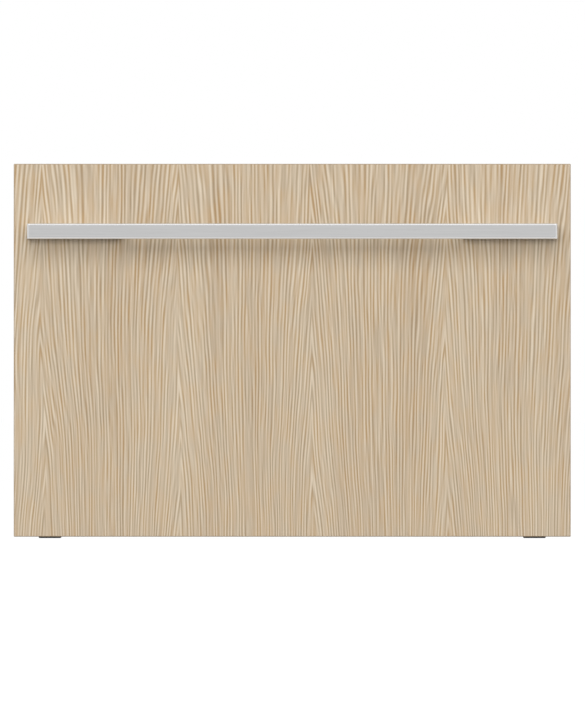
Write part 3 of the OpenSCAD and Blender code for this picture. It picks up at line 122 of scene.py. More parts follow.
# A grit of about 1 mm dulls all the crystals
fine = add(galvanised, "ShaderNodeTexNoise", {"Vector": place, "Scale": 900.0, "Detail": 4.0})
zinc = add(galvanised, "ShaderNodeMix",
           {0: flake.outputs[0], 6: linear("#A5ABB0"), 7: linear("#C6CACD")}, data_type="RGBA")
dulled = add(galvanised, "ShaderNodeMix",
             {0: fine.outputs["Fac"], 6: zinc.outputs[2], 7: linear("#B4B9BC")},
             data_type="RGBA")
gloss = add(galvanised, "ShaderNodeMapRange", {0: flake.outputs[1], 3: 0.30, 4: 0.52})
grain = add(galvanised, "ShaderNodeBump",
            {"Strength": 0.25, "Distance": 0.0002, "Height": flake.outputs[2]})
grit = add(galvanised, "ShaderNodeBump",
           {"Strength": 0.2, "Distance": 0.0001, "Height": fine.outputs["Fac"],
            "Normal": grain.outputs[0]})
shader = add(galvanised, "ShaderNodeBsdfPrincipled",
             {"Base Color": dulled.outputs[2], "Metallic": 1.0,
              "Roughness": gloss.outputs[0], "Normal": grit.outputs[0]})
close_finish(galvanised, shader)
dress(galvanised, "chassis_back", "chassis_base")


def only(piece):
    """Selects one piece alone, so that an operator acts on nothing else."""
    if bpy.context.object and bpy.context.object.mode != "OBJECT":
        bpy.ops.object.mode_set(mode="OBJECT")
    bpy.ops.object.select_all(action="DESELECT")
    piece.select_set(True)
    bpy.context.view_layer.objects.active = piece


def apply_modifier(piece, kind, **settings):
    """Adds a modifier and applies it."""
    only(piece)
    modifier = piece.modifiers.new(kind, kind)
    for name, value in settings.items():
        setattr(modifier, name, value)
    bpy.ops.object.modifier_apply(modifier=modifier.name)


def finish_piece(piece, finish, body, slot, *stands_for):
    """Gives a new piece its finish and its body, and says which CAD pieces it stands for."""
    piece.data.materials.clear()
    piece.data.materials.append(finish)
    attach(piece, body)
    if stands_for:
        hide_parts(*stands_for)


def keep_flat(piece, sharp):
    """Shades a piece smooth up to an angle, with its large faces kept flat."""
    only(piece)
    bpy.ops.object.shade_smooth_by_angle(angle=math.radians(sharp))
    apply_modifier(piece, "WEIGHTED_NORMAL", mode="FACE_AREA", weight=100, keep_sharp=True)


def pick_points(piece, test):
    """Selects the points that pass a test, and leaves the piece in edit mode."""
    only(piece)
    bpy.ops.object.mode_set(mode="EDIT")
    bpy.ops.mesh.select_mode(type="VERT")
    bpy.ops.mesh.select_all(action="DESELECT")
    bpy.ops.object.mode_set(mode="OBJECT")
    for point in piece.data.vertices:
        point.select = test(point.co)
    bpy.ops.object.mode_set(mode="EDIT")


def merged_copy(node, name):
    """A copy of a CAD piece with its own mesh, merged and without its stored shading."""
    piece = bpy.data.objects.new(name, frame["nodes"][node].data.copy())
    bpy.context.scene.collection.objects.link(piece)
    only(piece)
    bpy.ops.mesh.customdata_custom_splitnormals_clear()
    bpy.ops.object.mode_set(mode="EDIT")
    bpy.ops.mesh.select_all(action="SELECT")
    bpy.ops.mesh.remove_doubles(threshold=0.00001)
    bpy.ops.object.mode_set(mode="OBJECT")
    return piece


# Three beads 12 mm wide and 350 mm long in each side, and two of 371 mm in the top. Each
# slopes 1.5 mm down to its floor all round, which keeps 0.75 of the width.
BEAD_REACH = 0.010      # from a bead's middle to just past its edge
bead_y = 0.0325
side_bead_z = (0.20988, 0.26136, 0.31284)
side_floor_x = 0.2945
top_bead_x = 0.1298
top_floor_z = 0.3955


def pressed(node, axis, floor, across, middles, kept):
    """A sheet whose beads have sloping walls, as a press leaves them."""
    piece = merged_copy(node, node + "_pressed")
    for middle in middles:
        pick_points(piece, lambda point: abs(point[axis] - floor) < 0.0001
                    and abs(point[across] - middle[across]) < BEAD_REACH)
        bpy.ops.transform.resize(value=kept, center_override=middle)
    bpy.ops.object.mode_set(mode="OBJECT")
    keep_flat(piece, 10)
    finish_piece(piece, galvanised, "chassis", "galvanised_sheet", node)


for side, x in (("left", -side_floor_x), ("right", side_floor_x)):
    pressed("chassis_" + side + "_side", 0, x, 2, [(x, bead_y, z) for z in side_bead_z],
            (1, 0.9914, 0.75))
pressed("chassis_top", 2, top_floor_z, 0,
        [(x, bead_y, top_floor_z) for x in (-top_bead_x, top_bead_x)], (0.75, 0.9919, 1))

# ---------------------------------------------------------------- sheet screws
# Pan-head screws hold the folded sheets together. Each is cold-headed steel with a bright
# zinc coat and a cross recess, and one head is made and then copied to every hole.

zinc_plated = new_finish("bright_zinc_plated_steel")
place = add(zinc_plated, "ShaderNodeTexCoord").outputs["Object"]
# The strip was rolled along its length, and its lines are drawn 0.8 mm apart to show
rolled = add(zinc_plated, "ShaderNodeMapping",
             {"Vector": place, "Scale": (1 / 0.0008, 1 / 0.06, 1 / 0.0008)})
lines = add(zinc_plated, "ShaderNodeTexNoise",
            {"Vector": rolled.outputs[0], "Scale": 1.0, "Detail": 3.0})
cloud = add(zinc_plated, "ShaderNodeTexNoise",
            {"Vector": place, "Scale": 1 / 0.04, "Detail": 3.0})
plating = add(zinc_plated, "ShaderNodeMix",
              {0: cloud.outputs["Fac"], 6: linear("#AEB4BC"), 7: linear("#C9CDD2")},
              data_type="RGBA")
gloss = add(zinc_plated, "ShaderNodeMapRange", {0: lines.outputs["Fac"], 3: 0.24, 4: 0.42})
ridges = add(zinc_plated, "ShaderNodeBump",
             {"Strength": 0.15, "Distance": 0.0001, "Height": lines.outputs["Fac"]})
shader = add(zinc_plated, "ShaderNodeBsdfPrincipled",
             {"Base Color": plating.outputs[2], "Metallic": 1.0,
              "Roughness": gloss.outputs[0], "Normal": ridges.outputs[0]})
close_finish(zinc_plated, shader)


def turned(name, profile, steps):
    """A turned piece on the Z axis, from its profile of radius and height, end to end."""
    bpy.ops.object.select_all(action="DESELECT")
    bpy.ops.mesh.primitive_circle_add(vertices=steps, radius=profile[0][0],
                                      fill_type="NGON", location=(0, 0, profile[0][1]))
    piece = bpy.context.object
    piece.name = piece.data.name = name
    bpy.ops.object.transform_apply(location=True, rotation=True, scale=True)
    bpy.ops.object.mode_set(mode="EDIT")
    bpy.ops.mesh.select_all(action="SELECT")
    for (r0, z0), (r1, z1) in zip(profile, profile[1:]):
        bpy.ops.mesh.extrude_region_move(TRANSFORM_OT_translate={"value": (0, 0, z1 - z0)})
        bpy.ops.transform.resize(value=(r1 / r0, r1 / r0, 1), center_override=(0, 0, z1))
    bpy.ops.mesh.select_all(action="SELECT")
    bpy.ops.mesh.normals_make_consistent(inside=False)
    bpy.ops.object.mode_set(mode="OBJECT")
    bpy.ops.object.shade_smooth_by_angle(angle=math.radians(35))
    return piece


def put(piece, matrix):
    """Moves a piece's mesh into its place, and leaves its object at the origin."""
    piece.data.transform(matrix)
    piece.data.update()
    return piece


def copy_of(piece, name, matrix):
    """A copy of a piece with its own mesh, moved by a matrix."""
    twin = bpy.data.objects.new(name, piece.data.copy())
    bpy.context.scene.collection.objects.link(twin)
    return put(twin, matrix)


def join(name, pieces):
    """Joins pieces into one object."""
    only(pieces[0])
    for piece in pieces:
        piece.select_set(True)
    bpy.ops.object.join()
    pieces[0].name = pieces[0].data.name = name
    return pieces[0]


def slab(name, low, high):
    """A block between two corners, to be shaped further."""
    bpy.ops.object.select_all(action="DESELECT")
    middle = [(a + b) / 2 for a, b in zip(low, high)]
    bpy.ops.mesh.primitive_cube_add(size=1, location=middle)
    piece = bpy.context.object
    piece.name = piece.data.name = name
    piece.scale = [b - a for a, b in zip(low, high)]
    bpy.ops.object.transform_apply(location=True, rotation=True, scale=True)
    return piece


# The head is 7 mm across and 1.8 mm high, with a domed top
head = turned("screw_head", [(0.0035, 0.0), (0.0035, 0.0008), (0.0031, 0.0014),
                             (0.0023, 0.00175), (0.0012, 0.0018)], steps=24)
for turn in (0, 90):
    blade = slab("recess", (-0.0018, -0.0004, 0.0006), (0.0018, 0.0004, 0.003))
    put(blade, Matrix.Rotation(math.radians(turn), 4, "Z"))
    apply_modifier(head, "BOOLEAN", operation="DIFFERENCE", object=blade, solver="EXACT")
    bpy.data.objects.remove(blade)

# Four screws down each side of the top sheet, and four up each side of the back sheet
hole_x = 0.2875
chassis_depth = 0.53
chassis_height = 0.396
top_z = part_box("chassis_top")[1].z
back_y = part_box("chassis_back")[1].y
front_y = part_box("chassis_left_side")[0].y
heads = []
for x in (-hole_x, hole_x):
    for share in (0.05, 0.34, 0.66, 0.95):
        spot = (x, front_y + share * chassis_depth, top_z)
        heads.append(copy_of(head, "head", Matrix.Translation(spot)))
    for share in (0.1, 0.38, 0.68, 0.93):
        spot = (x, back_y, share * chassis_height)
        # Each recess stops at a turn of its own
        heads.append(copy_of(head, "head", Matrix.Translation(spot)
                             @ Matrix.Rotation(math.radians(-90), 4, "X")
                             @ Matrix.Rotation(math.radians(19 + 47 * share), 4, "Z")))
bpy.data.objects.remove(head)
finish_piece(join("sheet_screw_heads", heads), zinc_plated, "chassis", "zinc_plated_steel",
             "chassis_screws")

# ---------------------------------------------------------------- drip tray and pads
# The tray is dark grey polypropylene, moulded in one piece, and catches any leak under the
# tub. The pads are four flat blocks of black rubber that the chassis stands on.


def moulded(name, pale, deep, roughness, grain, bump=0.12):
    """A moulded plastic: its pigment clouds softly, and the mould's grain breaks the gloss."""
    finish = new_finish(name)
    place = add(finish, "ShaderNodeTexCoord").outputs["Object"]
    cloud = add(finish, "ShaderNodeTexNoise",
                {"Vector": place, "Scale": 1 / 0.045, "Detail": 3.0, "Roughness": 0.6})
    speck = add(finish, "ShaderNodeTexNoise",
                {"Vector": place, "Scale": 1 / grain, "Detail": 2.0})
    pigment = add(finish, "ShaderNodeMix",
                  {0: cloud.outputs["Fac"], 6: linear(deep), 7: linear(pale)},
                  data_type="RGBA")
    gloss = add(finish, "ShaderNodeMapRange",
                {0: speck.outputs["Fac"], 3: roughness - 0.07, 4: roughness + 0.07})
    texture = add(finish, "ShaderNodeBump",
                  {"Strength": bump, "Distance": 0.0002, "Height": speck.outputs["Fac"]})
    shader = add(finish, "ShaderNodeBsdfPrincipled",
                 {"Base Color": pigment.outputs[2], "Roughness": gloss.outputs[0],
                  "Normal": texture.outputs[0], "IOR": 1.49})
    return close_finish(finish, shader)


# Spark-eroded moulds leave a grain of 0.6 mm, drawn at 1 mm to show
charcoal = moulded("charcoal_polypropylene", "#45474A", "#3A3C3F", 0.52, 0.001)
black_rubber = moulded("black_epdm_rubber", "#2B2B2C", "#222223", 0.78, 0.0015, 0.25)
dress(charcoal, "drip_tray")


def softened(node, radius, finish, slot, segments=2):
    """A copy of a CAD piece with its sharp edges rounded, which stands for it."""
    piece = merged_copy(node, node + "_rounded")
    bpy.ops.object.mode_set(mode="EDIT")
    bpy.ops.mesh.dissolve_limited(angle_limit=math.radians(1))
    bpy.ops.object.mode_set(mode="OBJECT")
    apply_modifier(piece, "BEVEL", width=radius, segments=segments, limit_method="ANGLE",
                   angle_limit=math.radians(30), use_clamp_overlap=True,
                   miter_outer="MITER_ARC")
    keep_flat(piece, 50)
    finish_piece(piece, finish, frame["nodes"][node]["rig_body"], slot, node)
    return piece


softened("rubber_pads", 0.0008, black_rubber, "black_rubber")

# ---------------------------------------------------------------- front trim seal
# Strips of grey rubber lie on the chassis's front flanges, above and below each slide and
# along the top, and the drawer closes on them. They are extruded, so they are smooth and dull.

grey_rubber = moulded("grey_tpe_rubber", "#8D9092", "#7F8284", 0.7, 0.0012, 0.15)
softened("front_trim_seal", 0.0004, grey_rubber, "grey_rubber")

# ---------------------------------------------------------------- water inlet
# The valve is moulded in white glass-filled nylon, with a 3/4 inch thread that reaches
# through the back sheet and a solenoid coil potted in plastic on top.

white_nylon = moulded("white_glass_filled_nylon", "#E9E8E3", "#DEDDD6", 0.42, 0.0012)


def sleeve(name, profile, x, y, z):
    """A ridged tube along Y, open at both ends."""
    piece = turned(name, profile, steps=40)
    bpy.ops.object.mode_set(mode="EDIT")
    bpy.ops.mesh.select_all(action="DESELECT")
    bpy.ops.mesh.select_face_by_sides(number=4, type="GREATER")
    bpy.ops.mesh.delete(type="FACE")
    bpy.ops.object.mode_set(mode="OBJECT")
    return put(piece, Matrix.Translation((x, y, z))
               @ Matrix.Rotation(math.radians(-90), 4, "X"))


def narrowed(piece, x, z, low, high, start, share):
    """Thins the tube whose points lie between two radii, behind a plane across Y."""
    pick_points(piece, lambda point: point.y > start
                and low < math.hypot(point.x - x, point.z - z) < high)
    bpy.ops.transform.resize(value=(share, 1, share), center_override=(x, start, z))
    bpy.ops.object.mode_set(mode="OBJECT")


# The thread's ridges are 1.81 mm apart, from 24.2 mm across at the root to 26.44 at the crest
inlet_x, port_z = 0.200, 0.062
mouth, root, crest, pitch = 0.0115, 0.0121, 0.01322, 0.00181
thread = [(mouth, 0.0003)]
for ridge in range(8):
    foot = 0.0006 + ridge * pitch
    thread += [(root, foot), (crest, foot + 0.0007), (crest, foot + 0.0010),
               (root, foot + 0.0017)]
thread.append((mouth, 0.0152))
ridges = sleeve("thread", thread, inlet_x, back_y + 0.002, port_z)
ridges.data.materials.append(white_nylon)
# The valve's plain tube is thinned, so that it ends under the ridges
valve = merged_copy("inlet_valve", "inlet_valve_threaded")
narrowed(valve, inlet_x, port_z, low=0.0125, high=0.0136, start=back_y + 0.0015, share=0.915)
keep_flat(valve, 40)
finish_piece(join("inlet_valve_threaded", [valve, ridges]), white_nylon, "chassis",
             "white_plastic", "inlet_valve")

# ---------------------------------------------------------------- drain and mains ports
# The drain spigot is grey polypropylene. The gland for the mains cable is black nylon: a
# hexagonal nut on each side of the sheet.

grey_pp = moulded("grey_polypropylene", "#A4A9AC", "#979CA0", 0.45, 0.001)
black_nylon = moulded("black_nylon", "#242527", "#1C1D1F", 0.4, 0.001)
# Three barbs, each steep towards the sheet and sloping to the free end, grip the hose
drain_x = 0.140
root, crest = 0.0086, 0.0095
outline = [(0.0084, 0.0024)]
for step in (0.0026, 0.0064, 0.0102):
    outline += [(root, step), (crest, step + 0.0002), (crest, step + 0.0006),
                (root, step + 0.0034)]
outline.append((0.0082, 0.0138))
barbs = sleeve("barbs", outline, drain_x, back_y + 0.0025, port_z)
barbs.data.materials.append(grey_pp)
spigot = softened("drain_outlet", 0.0004, grey_pp, "grey_plastic")
narrowed(spigot, drain_x, port_z, low=0.0083, high=0.0102, start=back_y + 0.0024, share=0.9)
join("drain_outlet_rounded", [spigot, barbs])
softened("cable_gland", 0.0006, black_nylon, "black_plastic")

# ---------------------------------------------------------------- slides
# Each slide is three rails rolled from zinc-plated strip, which telescope on steel balls.
# The balls run in cages of yellow passivated strip, whose film shifts from gold to green.

dress(zinc_plated, "left_outer_rail", "right_outer_rail", "left_middle_rail",
      "right_middle_rail", "left_inner_rail", "right_inner_rail")

passivated = new_finish("yellow_passivated_steel")
place = add(passivated, "ShaderNodeTexCoord").outputs["Object"]
# The film changes colour every 11 mm or so
film = add(passivated, "ShaderNodeTexNoise", {"Vector": place, "Scale": 90.0, "Detail": 3.0})
hue = add(passivated, "ShaderNodeMix",
          {0: film.outputs["Fac"], 6: linear("#C9A94F"), 7: linear("#B7B478")},
          data_type="RGBA")
gloss = add(passivated, "ShaderNodeMapRange", {0: film.outputs["Fac"], 3: 0.22, 4: 0.4})
shader = add(passivated, "ShaderNodeBsdfPrincipled",
             {"Base Color": hue.outputs[2], "Metallic": 1.0, "Roughness": gloss.outputs[0]})
close_finish(passivated, shader)
dress(passivated, "outer_ball_cages", "inner_ball_cages")

# ---------------------------------------------------------------- lid and its lifters
# The lid is a ribbed plate of white polypropylene with a grey rubber seal clipped round its
# edge. Two acetal yokes slide back to drop it, each driven by a pinion on a small gearmotor.

white_pp = moulded("white_polypropylene", "#E6E6E2", "#DADAD5", 0.4, 0.0012)
acetal = moulded("natural_acetal", "#E2E1DB", "#D9D8D1", 0.3, 0.002, 0.05)
dress(white_pp, "lid_pan")
dress(acetal, "left_yoke", "right_yoke", "left_pinion", "right_pinion")
softened("lid_seal", 0.002, grey_rubber, "grey_rubber", segments=4)
dress(grey_pp, "lid_guides")
softened("left_lid_motor", 0.0012, black_nylon, "black_plastic")
softened("right_lid_motor", 0.0012, black_nylon, "black_plastic")

# ---------------------------------------------------------------- hose link
# Two open channels of grey polypropylene fold like an elbow behind the tub and carry the
# water hose, which is grey rubber with a ring at every 4 mm so that it bends without kinking.

dress(grey_pp, "rear_link_arm", "front_link_arm")
RING_PITCH = 0.004
RING_DEPTH = 0.0012
for arm in ("rear", "front"):
    low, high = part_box(arm + "_link_hose")
    radius = (high.z - low.z) / 2
    rings = []
    x = 0.0
    while x < high.x - low.x - RING_PITCH:
        rings += [(radius - RING_DEPTH, x), (radius, x + 0.001), (radius, x + 0.0025),
                  (radius - RING_DEPTH, x + 0.0035)]
        x += RING_PITCH
    hose = turned(arm + "_link_hose_ribbed", rings, steps=20)
    put(hose, Matrix.Translation((low.x, (low.y + high.y) / 2, (low.z + high.z) / 2))
        @ Matrix.Rotation(math.radians(90), 4, "Y"))
    finish_piece(hose, grey_rubber, arm + "_arm", "grey_rubber", arm + "_link_hose")

# ---------------------------------------------------------------- tub
# The tub is one deep moulding of grey polypropylene, from a polished mould, so that water
# runs off it.

tub_grey = moulded("tub_grey_polypropylene", "#C3C7CA", "#B7BBBF", 0.32, 0.0015, 0.06)
dress(tub_grey, "tub")

# ---------------------------------------------------------------- wash system
# The spray arm is a hollow grey blade on the riser. The filter plate under it has rings of
# holes and a lift-out drain filter. The wash motor hangs under the sump in a dark housing.

softened("spray_arm", 0.0025, grey_pp, "grey_plastic", segments=4)
filter_grey = moulded("dark_grey_polypropylene", "#7B8084", "#6F7478", 0.42, 0.001)
dress(filter_grey, "filter_plate")
softened("drain_filter", 0.0005, filter_grey, "grey_plastic")
softened("motor_housing", 0.0012, charcoal, "charcoal_plastic")

windings = new_finish("enamelled_copper_windings")
place = add(windings, "ShaderNodeTexCoord").outputs["Object"]
# The wire is 0.6 mm thick, and its bands are drawn 2.4 mm apart to show
turns = add(windings, "ShaderNodeTexWave",
            {"Vector": place, "Scale": 1 / 0.0012 / 6.28, "Distortion": 2.0, "Detail": 1.0},
            bands_direction="Z")
varnish = add(windings, "ShaderNodeMix",
              {0: turns.outputs["Fac"], 6: linear("#7A3B1C"), 7: linear("#C2703A")},
              data_type="RGBA")
relief = add(windings, "ShaderNodeBump",
             {"Strength": 0.6, "Distance": 0.0004, "Height": turns.outputs["Fac"]})
shader = add(windings, "ShaderNodeBsdfPrincipled",
             {"Base Color": varnish.outputs[2], "Metallic": 1.0, "Roughness": 0.34,
              "Normal": relief.outputs[0]})
close_finish(windings, shader)
dress(windings, "motor_stator")
ferrite = moulded("sintered_ferrite", "#3A3B3D", "#2D2E30", 0.5, 0.0008, 0.2)
dress(ferrite, "motor_rotor")

# ---------------------------------------------------------------- basket
# The basket is steel wire, welded and then dipped in grey nylon powder, which leaves a soft
# satin skin with a slight orange peel. The tines fold on cross wires.

nylon_coat = moulded("nylon_coated_wire", "#BFC3C6", "#B1B5B9", 0.36, 0.0016, 0.1)
dress(nylon_coat, "basket", "front_tines", "rear_tines")

cutlery_grey = moulded("light_grey_polypropylene", "#B4B8BB", "#A7ABAF", 0.42, 0.001)
dress(cutlery_grey, "cutlery_basket", "left_cup_rack", "right_cup_rack")

# ---------------------------------------------------------------- detergent dispenser
# The dispenser is a grey moulding on the tub's front wall. A white flap closes the cup for
# the detergent, and a cap with a grip closes the rinse aid tank.

softened("dispenser_body", 0.0015, grey_pp, "grey_plastic")
softened("detergent_flap", 0.0006, white_pp, "white_plastic")
softened("rinse_cap", 0.0008, filter_grey, "grey_plastic")

# ---------------------------------------------------------------- door carrier and controls
# The carrier is a deep dark grey moulding that joins the tub to the wood panel. A gloss black
# strip along its top edge holds three satin metal buttons, over their board and controller.

softened("door_carrier", 0.0015, charcoal, "charcoal_plastic")
dress(zinc_plated, "panel_brackets", "drawer_screws")
dress(black_nylon, "controller_module")

gloss_strip = new_finish("gloss_black_acrylic")
place = add(gloss_strip, "ShaderNodeTexCoord").outputs["Object"]
# Faint smears 14 mm across are all that breaks its gloss
smears = add(gloss_strip, "ShaderNodeTexNoise",
             {"Vector": place, "Scale": 70.0, "Detail": 4.0, "Roughness": 0.7})
gloss = add(gloss_strip, "ShaderNodeMapRange", {0: smears.outputs["Fac"], 3: 0.04, 4: 0.16})
tone = add(gloss_strip, "ShaderNodeMix",
           {0: smears.outputs["Fac"], 6: linear("#0C0C0D"), 7: linear("#141415")},
           data_type="RGBA")
shader = add(gloss_strip, "ShaderNodeBsdfPrincipled",
             {"Base Color": tone.outputs[2], "Roughness": gloss.outputs[0], "IOR": 1.49})
close_finish(gloss_strip, shader)
softened("control_strip", 0.0004, gloss_strip, "gloss_black_strip")

satin_metal = new_finish("satin_anodised_aluminium")
place = add(satin_metal, "ShaderNodeTexCoord").outputs["Object"]
# Brushed from left to right, in hairs 0.3 mm wide and 10 mm long
brushed = add(satin_metal, "ShaderNodeMapping",
              {"Vector": place, "Scale": (1 / 0.01, 1 / 0.0003, 1 / 0.0003)})
hairs = add(satin_metal, "ShaderNodeTexNoise",
            {"Vector": brushed.outputs[0], "Scale": 1.0, "Detail": 2.0})
tone = add(satin_metal, "ShaderNodeMix",
           {0: hairs.outputs["Fac"], 6: linear("#B9BBBD"), 7: linear("#D0D1D2")},
           data_type="RGBA")
gloss = add(satin_metal, "ShaderNodeMapRange", {0: hairs.outputs["Fac"], 3: 0.25, 4: 0.38})
shader = add(satin_metal, "ShaderNodeBsdfPrincipled",
             {"Base Color": tone.outputs[2], "Metallic": 1.0, "Roughness": gloss.outputs[0]})
close_finish(satin_metal, shader)
buttons = ("power_button", "program_button", "start_button")
for button in buttons:
    softened(button, 0.0005, satin_metal, "button_metal", segments=3)

# A light guide of clear acrylic, 1.8 mm across, comes up through the strip to the right of
# each button
clear_acrylic = moulded("clear_acrylic_light_guide", "#E4E7E8", "#D5DADC", 0.2, 0.001, 0.02)
guide = turned("guide", [(0.0009, 0.0), (0.0009, 0.0002), (0.0006, 0.0004)], steps=20)
strip_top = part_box("control_strip")[1].z
guide_gap = 0.004
guides = []
for button in buttons:
    low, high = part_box(button)
    spot = (high.x + guide_gap, (low.y + high.y) / 2, strip_top)
    guides.append(copy_of(guide, "guide", Matrix.Translation(spot)))
bpy.data.objects.remove(guide)
finish_piece(join("button_light_guides", guides), clear_acrylic, "drawer", "white_plastic")

# ---------------------------------------------------------------- wood front panel
# The panel is a 19 mm board faced with light oak veneer under a matt lacquer, its grain
# upright. The veneer is sliced flat, so its growth lines run straight at the sides of each
# leaf and meet in tall, narrow arches in the middle.

GRAIN_PITCH = 0.0039    # between two growth lines
ARCH_PITCH = 0.0717     # from a row of arches to the straight lines beside it
ARCH_RISE = 0.048       # between the tips of two arches
ARCH_MIDDLE = 0.2       # height of the panel's middle, from which the arches spread
ROWS_OFFSET = 2.118     # sets where the rows of arches stand, and keeps the measure positive
WANDER = 0.022          # how far the lines are carried to the left and right

oak = new_finish("light_oak_veneer_matt_lacquer")
place = add(oak, "ShaderNodeTexCoord").outputs["Object"]
axes = add(oak, "ShaderNodeSeparateXYZ", {0: place})


def patches(width, length, seed=0.0, detail=1.0):
    """Soft patches in the wood, so wide across the grain and so long up it."""
    drawn_out = add(oak, "ShaderNodeMapping",
                    {"Vector": place, "Location": (seed, seed, seed),
                     "Scale": (1 / width, 1 / width, 1 / length)})
    return add(oak, "ShaderNodeTexNoise",
               {"Vector": drawn_out.outputs[0], "Scale": 1.0, "Detail": detail})


# Slow waves carry the lines a little to the left and right on their way up
wander = patches(0.20, 0.28)
shift = add(oak, "ShaderNodeMath", {0: wander.outputs["Fac"], 1: WANDER}, operation="MULTIPLY")
across = add(oak, "ShaderNodeMath", {0: axes.outputs["X"], 1: shift.outputs[0]})
across_up = add(oak, "ShaderNodeMath", {0: across.outputs[0], 1: ROWS_OFFSET})
# The distance from the middle of the nearest row of arches
away = add(oak, "ShaderNodeMath", {0: across_up.outputs[0], 1: ARCH_PITCH},
           operation="PINGPONG")
# The lines climb into the arches, and less so the further they are from the middle
climb = add(oak, "ShaderNodeMapRange",
            {0: away.outputs[0], 1: 0.0, 2: ARCH_PITCH, 3: 1.0, 4: 0.0},
            interpolation_type="SMOOTHSTEP")
height = add(oak, "ShaderNodeMath", {0: axes.outputs["Z"], 1: ARCH_MIDDLE},
             operation="SUBTRACT")
rise = add(oak, "ShaderNodeMath", {0: height.outputs[0], 1: climb.outputs[0]},
           operation="MULTIPLY")
rise_rings = add(oak, "ShaderNodeMath", {0: rise.outputs[0], 1: 1 / ARCH_RISE},
                 operation="MULTIPLY")
side_rings = add(oak, "ShaderNodeMath", {0: away.outputs[0], 1: 1 / GRAIN_PITCH},
                 operation="MULTIPLY")
rings = add(oak, "ShaderNodeMath", {0: side_rings.outputs[0], 1: rise_rings.outputs[0]})


def lines(pitches, waver, seed):
    """Soft light and dark lines along the rings, each wavering over a few centimetres."""
    noise = patches(0.009, 0.07, seed)
    count = add(oak, "ShaderNodeMath", {0: rings.outputs[0], 1: pitches * 2 * math.pi},
                operation="MULTIPLY")
    bend = add(oak, "ShaderNodeMath", {0: noise.outputs["Fac"], 1: waver * 2 * math.pi},
               operation="MULTIPLY")
    angle = add(oak, "ShaderNodeMath", {0: count.outputs[0], 1: bend.outputs[0]})
    return add(oak, "ShaderNodeMath", {0: angle.outputs[0]}, operation="SINE")


# Early wood and late wood make one set of lines, the pores between them a finer one, and
# the slow years a wider one
growth = lines(1.0, 1.3, 0.0)
pore_rows = lines(1.24, 1.5, 5.0)
years = lines(0.52, 1.4, 9.0)
fine_lines = add(oak, "ShaderNodeMath", {0: pore_rows.outputs[0], 1: 0.75, 2: growth.outputs[0]},
                 operation="MULTIPLY_ADD")
both = add(oak, "ShaderNodeMath", {0: years.outputs[0], 1: 0.4, 2: fine_lines.outputs[0]},
           operation="MULTIPLY_ADD")
# The lines fade and return along their length
fade = patches(0.006, 0.035, 3.0)
strength = add(oak, "ShaderNodeMapRange",
               {0: fade.outputs["Fac"], 1: 0.3, 2: 0.7, 3: 0.24, 4: 0.34})
marks = add(oak, "ShaderNodeMath", {0: both.outputs[0], 1: strength.outputs[0]},
            operation="MULTIPLY")
mark = add(oak, "ShaderNodeMath", {0: marks.outputs[0], 1: 0.5})
# The dark lines are ochre in some places and greyer in others
tint = patches(0.008, 0.03, 7.0)
tint_share = add(oak, "ShaderNodeMapRange", {0: tint.outputs["Fac"], 1: 0.35, 2: 0.65})
deep = add(oak, "ShaderNodeMix",
           {0: tint_share.outputs[0], 6: linear("#AE8D62"), 7: linear("#A48F74")},
           data_type="RGBA")
# Broad bands where the leaf is a little paler or deeper
band = patches(0.035, 0.5, detail=3.0)
wood = add(oak, "ShaderNodeMix",
           {0: mark.outputs[0], 6: deep.outputs[2], 7: linear("#E1D2BC")},
           data_type="RGBA")
band_share = add(oak, "ShaderNodeMapRange", {0: band.outputs["Fac"], 1: 0.3, 2: 0.7})
banded = add(oak, "ShaderNodeMix",
             {0: band_share.outputs[0], 6: linear("#AD9474"), 7: linear("#DDCEB4")},
             data_type="RGBA")
veneer = add(oak, "ShaderNodeMix",
             {0: 0.2, 6: wood.outputs[2], 7: banded.outputs[2]}, data_type="RGBA")
gloss = add(oak, "ShaderNodeMapRange", {0: mark.outputs[0], 3: 0.64, 4: 0.5})
pores = add(oak, "ShaderNodeBump",
            {"Strength": 0.1, "Distance": 0.0002, "Height": mark.outputs[0]})
shader = add(oak, "ShaderNodeBsdfPrincipled",
             {"Base Color": veneer.outputs[2], "Roughness": gloss.outputs[0],
              "Normal": pores.outputs[0], "IOR": 1.45})
close_finish(oak, shader)
panel = softened("wood_panel", 0.0010, oak, "oak_veneer", segments=3)

# A 1 mm band of the same wood covers the board's cut edges, a shade deeper than the face:
# partly the band's own tone, partly painted shade on the rounded edge that turns from the lamps
edge_band_with_painted_shade = new_finish("oak_edge_band_with_painted_shade")
place = add(edge_band_with_painted_shade, "ShaderNodeTexCoord").outputs["Object"]
along = add(edge_band_with_painted_shade, "ShaderNodeMapping",
            {"Vector": place, "Scale": (1 / 0.012, 1 / 0.0012, 1 / 0.012)})
streak = add(edge_band_with_painted_shade, "ShaderNodeTexNoise",
             {"Vector": along.outputs[0], "Scale": 1.0, "Detail": 3.0, "Roughness": 0.6})
# Deeper colours than the face's, partly painted shade along the rounded edge
tone = add(edge_band_with_painted_shade, "ShaderNodeMix",
           {0: streak.outputs["Fac"], 6: linear("#8F7A62"), 7: linear("#B7A48B")},
           data_type="RGBA")
gloss = add(edge_band_with_painted_shade, "ShaderNodeMapRange", {0: streak.outputs["Fac"], 3: 0.5, 4: 0.62})
shader = add(edge_band_with_painted_shade, "ShaderNodeBsdfPrincipled",
             {"Base Color": tone.outputs[2], "Roughness": gloss.outputs[0], "IOR": 1.45})
close_finish(edge_band_with_painted_shade, shader)
panel.data.materials.append(edge_band_with_painted_shade)
for face in panel.data.polygons:
    if abs(face.normal.y) < 0.99:
        face.material_index = 1
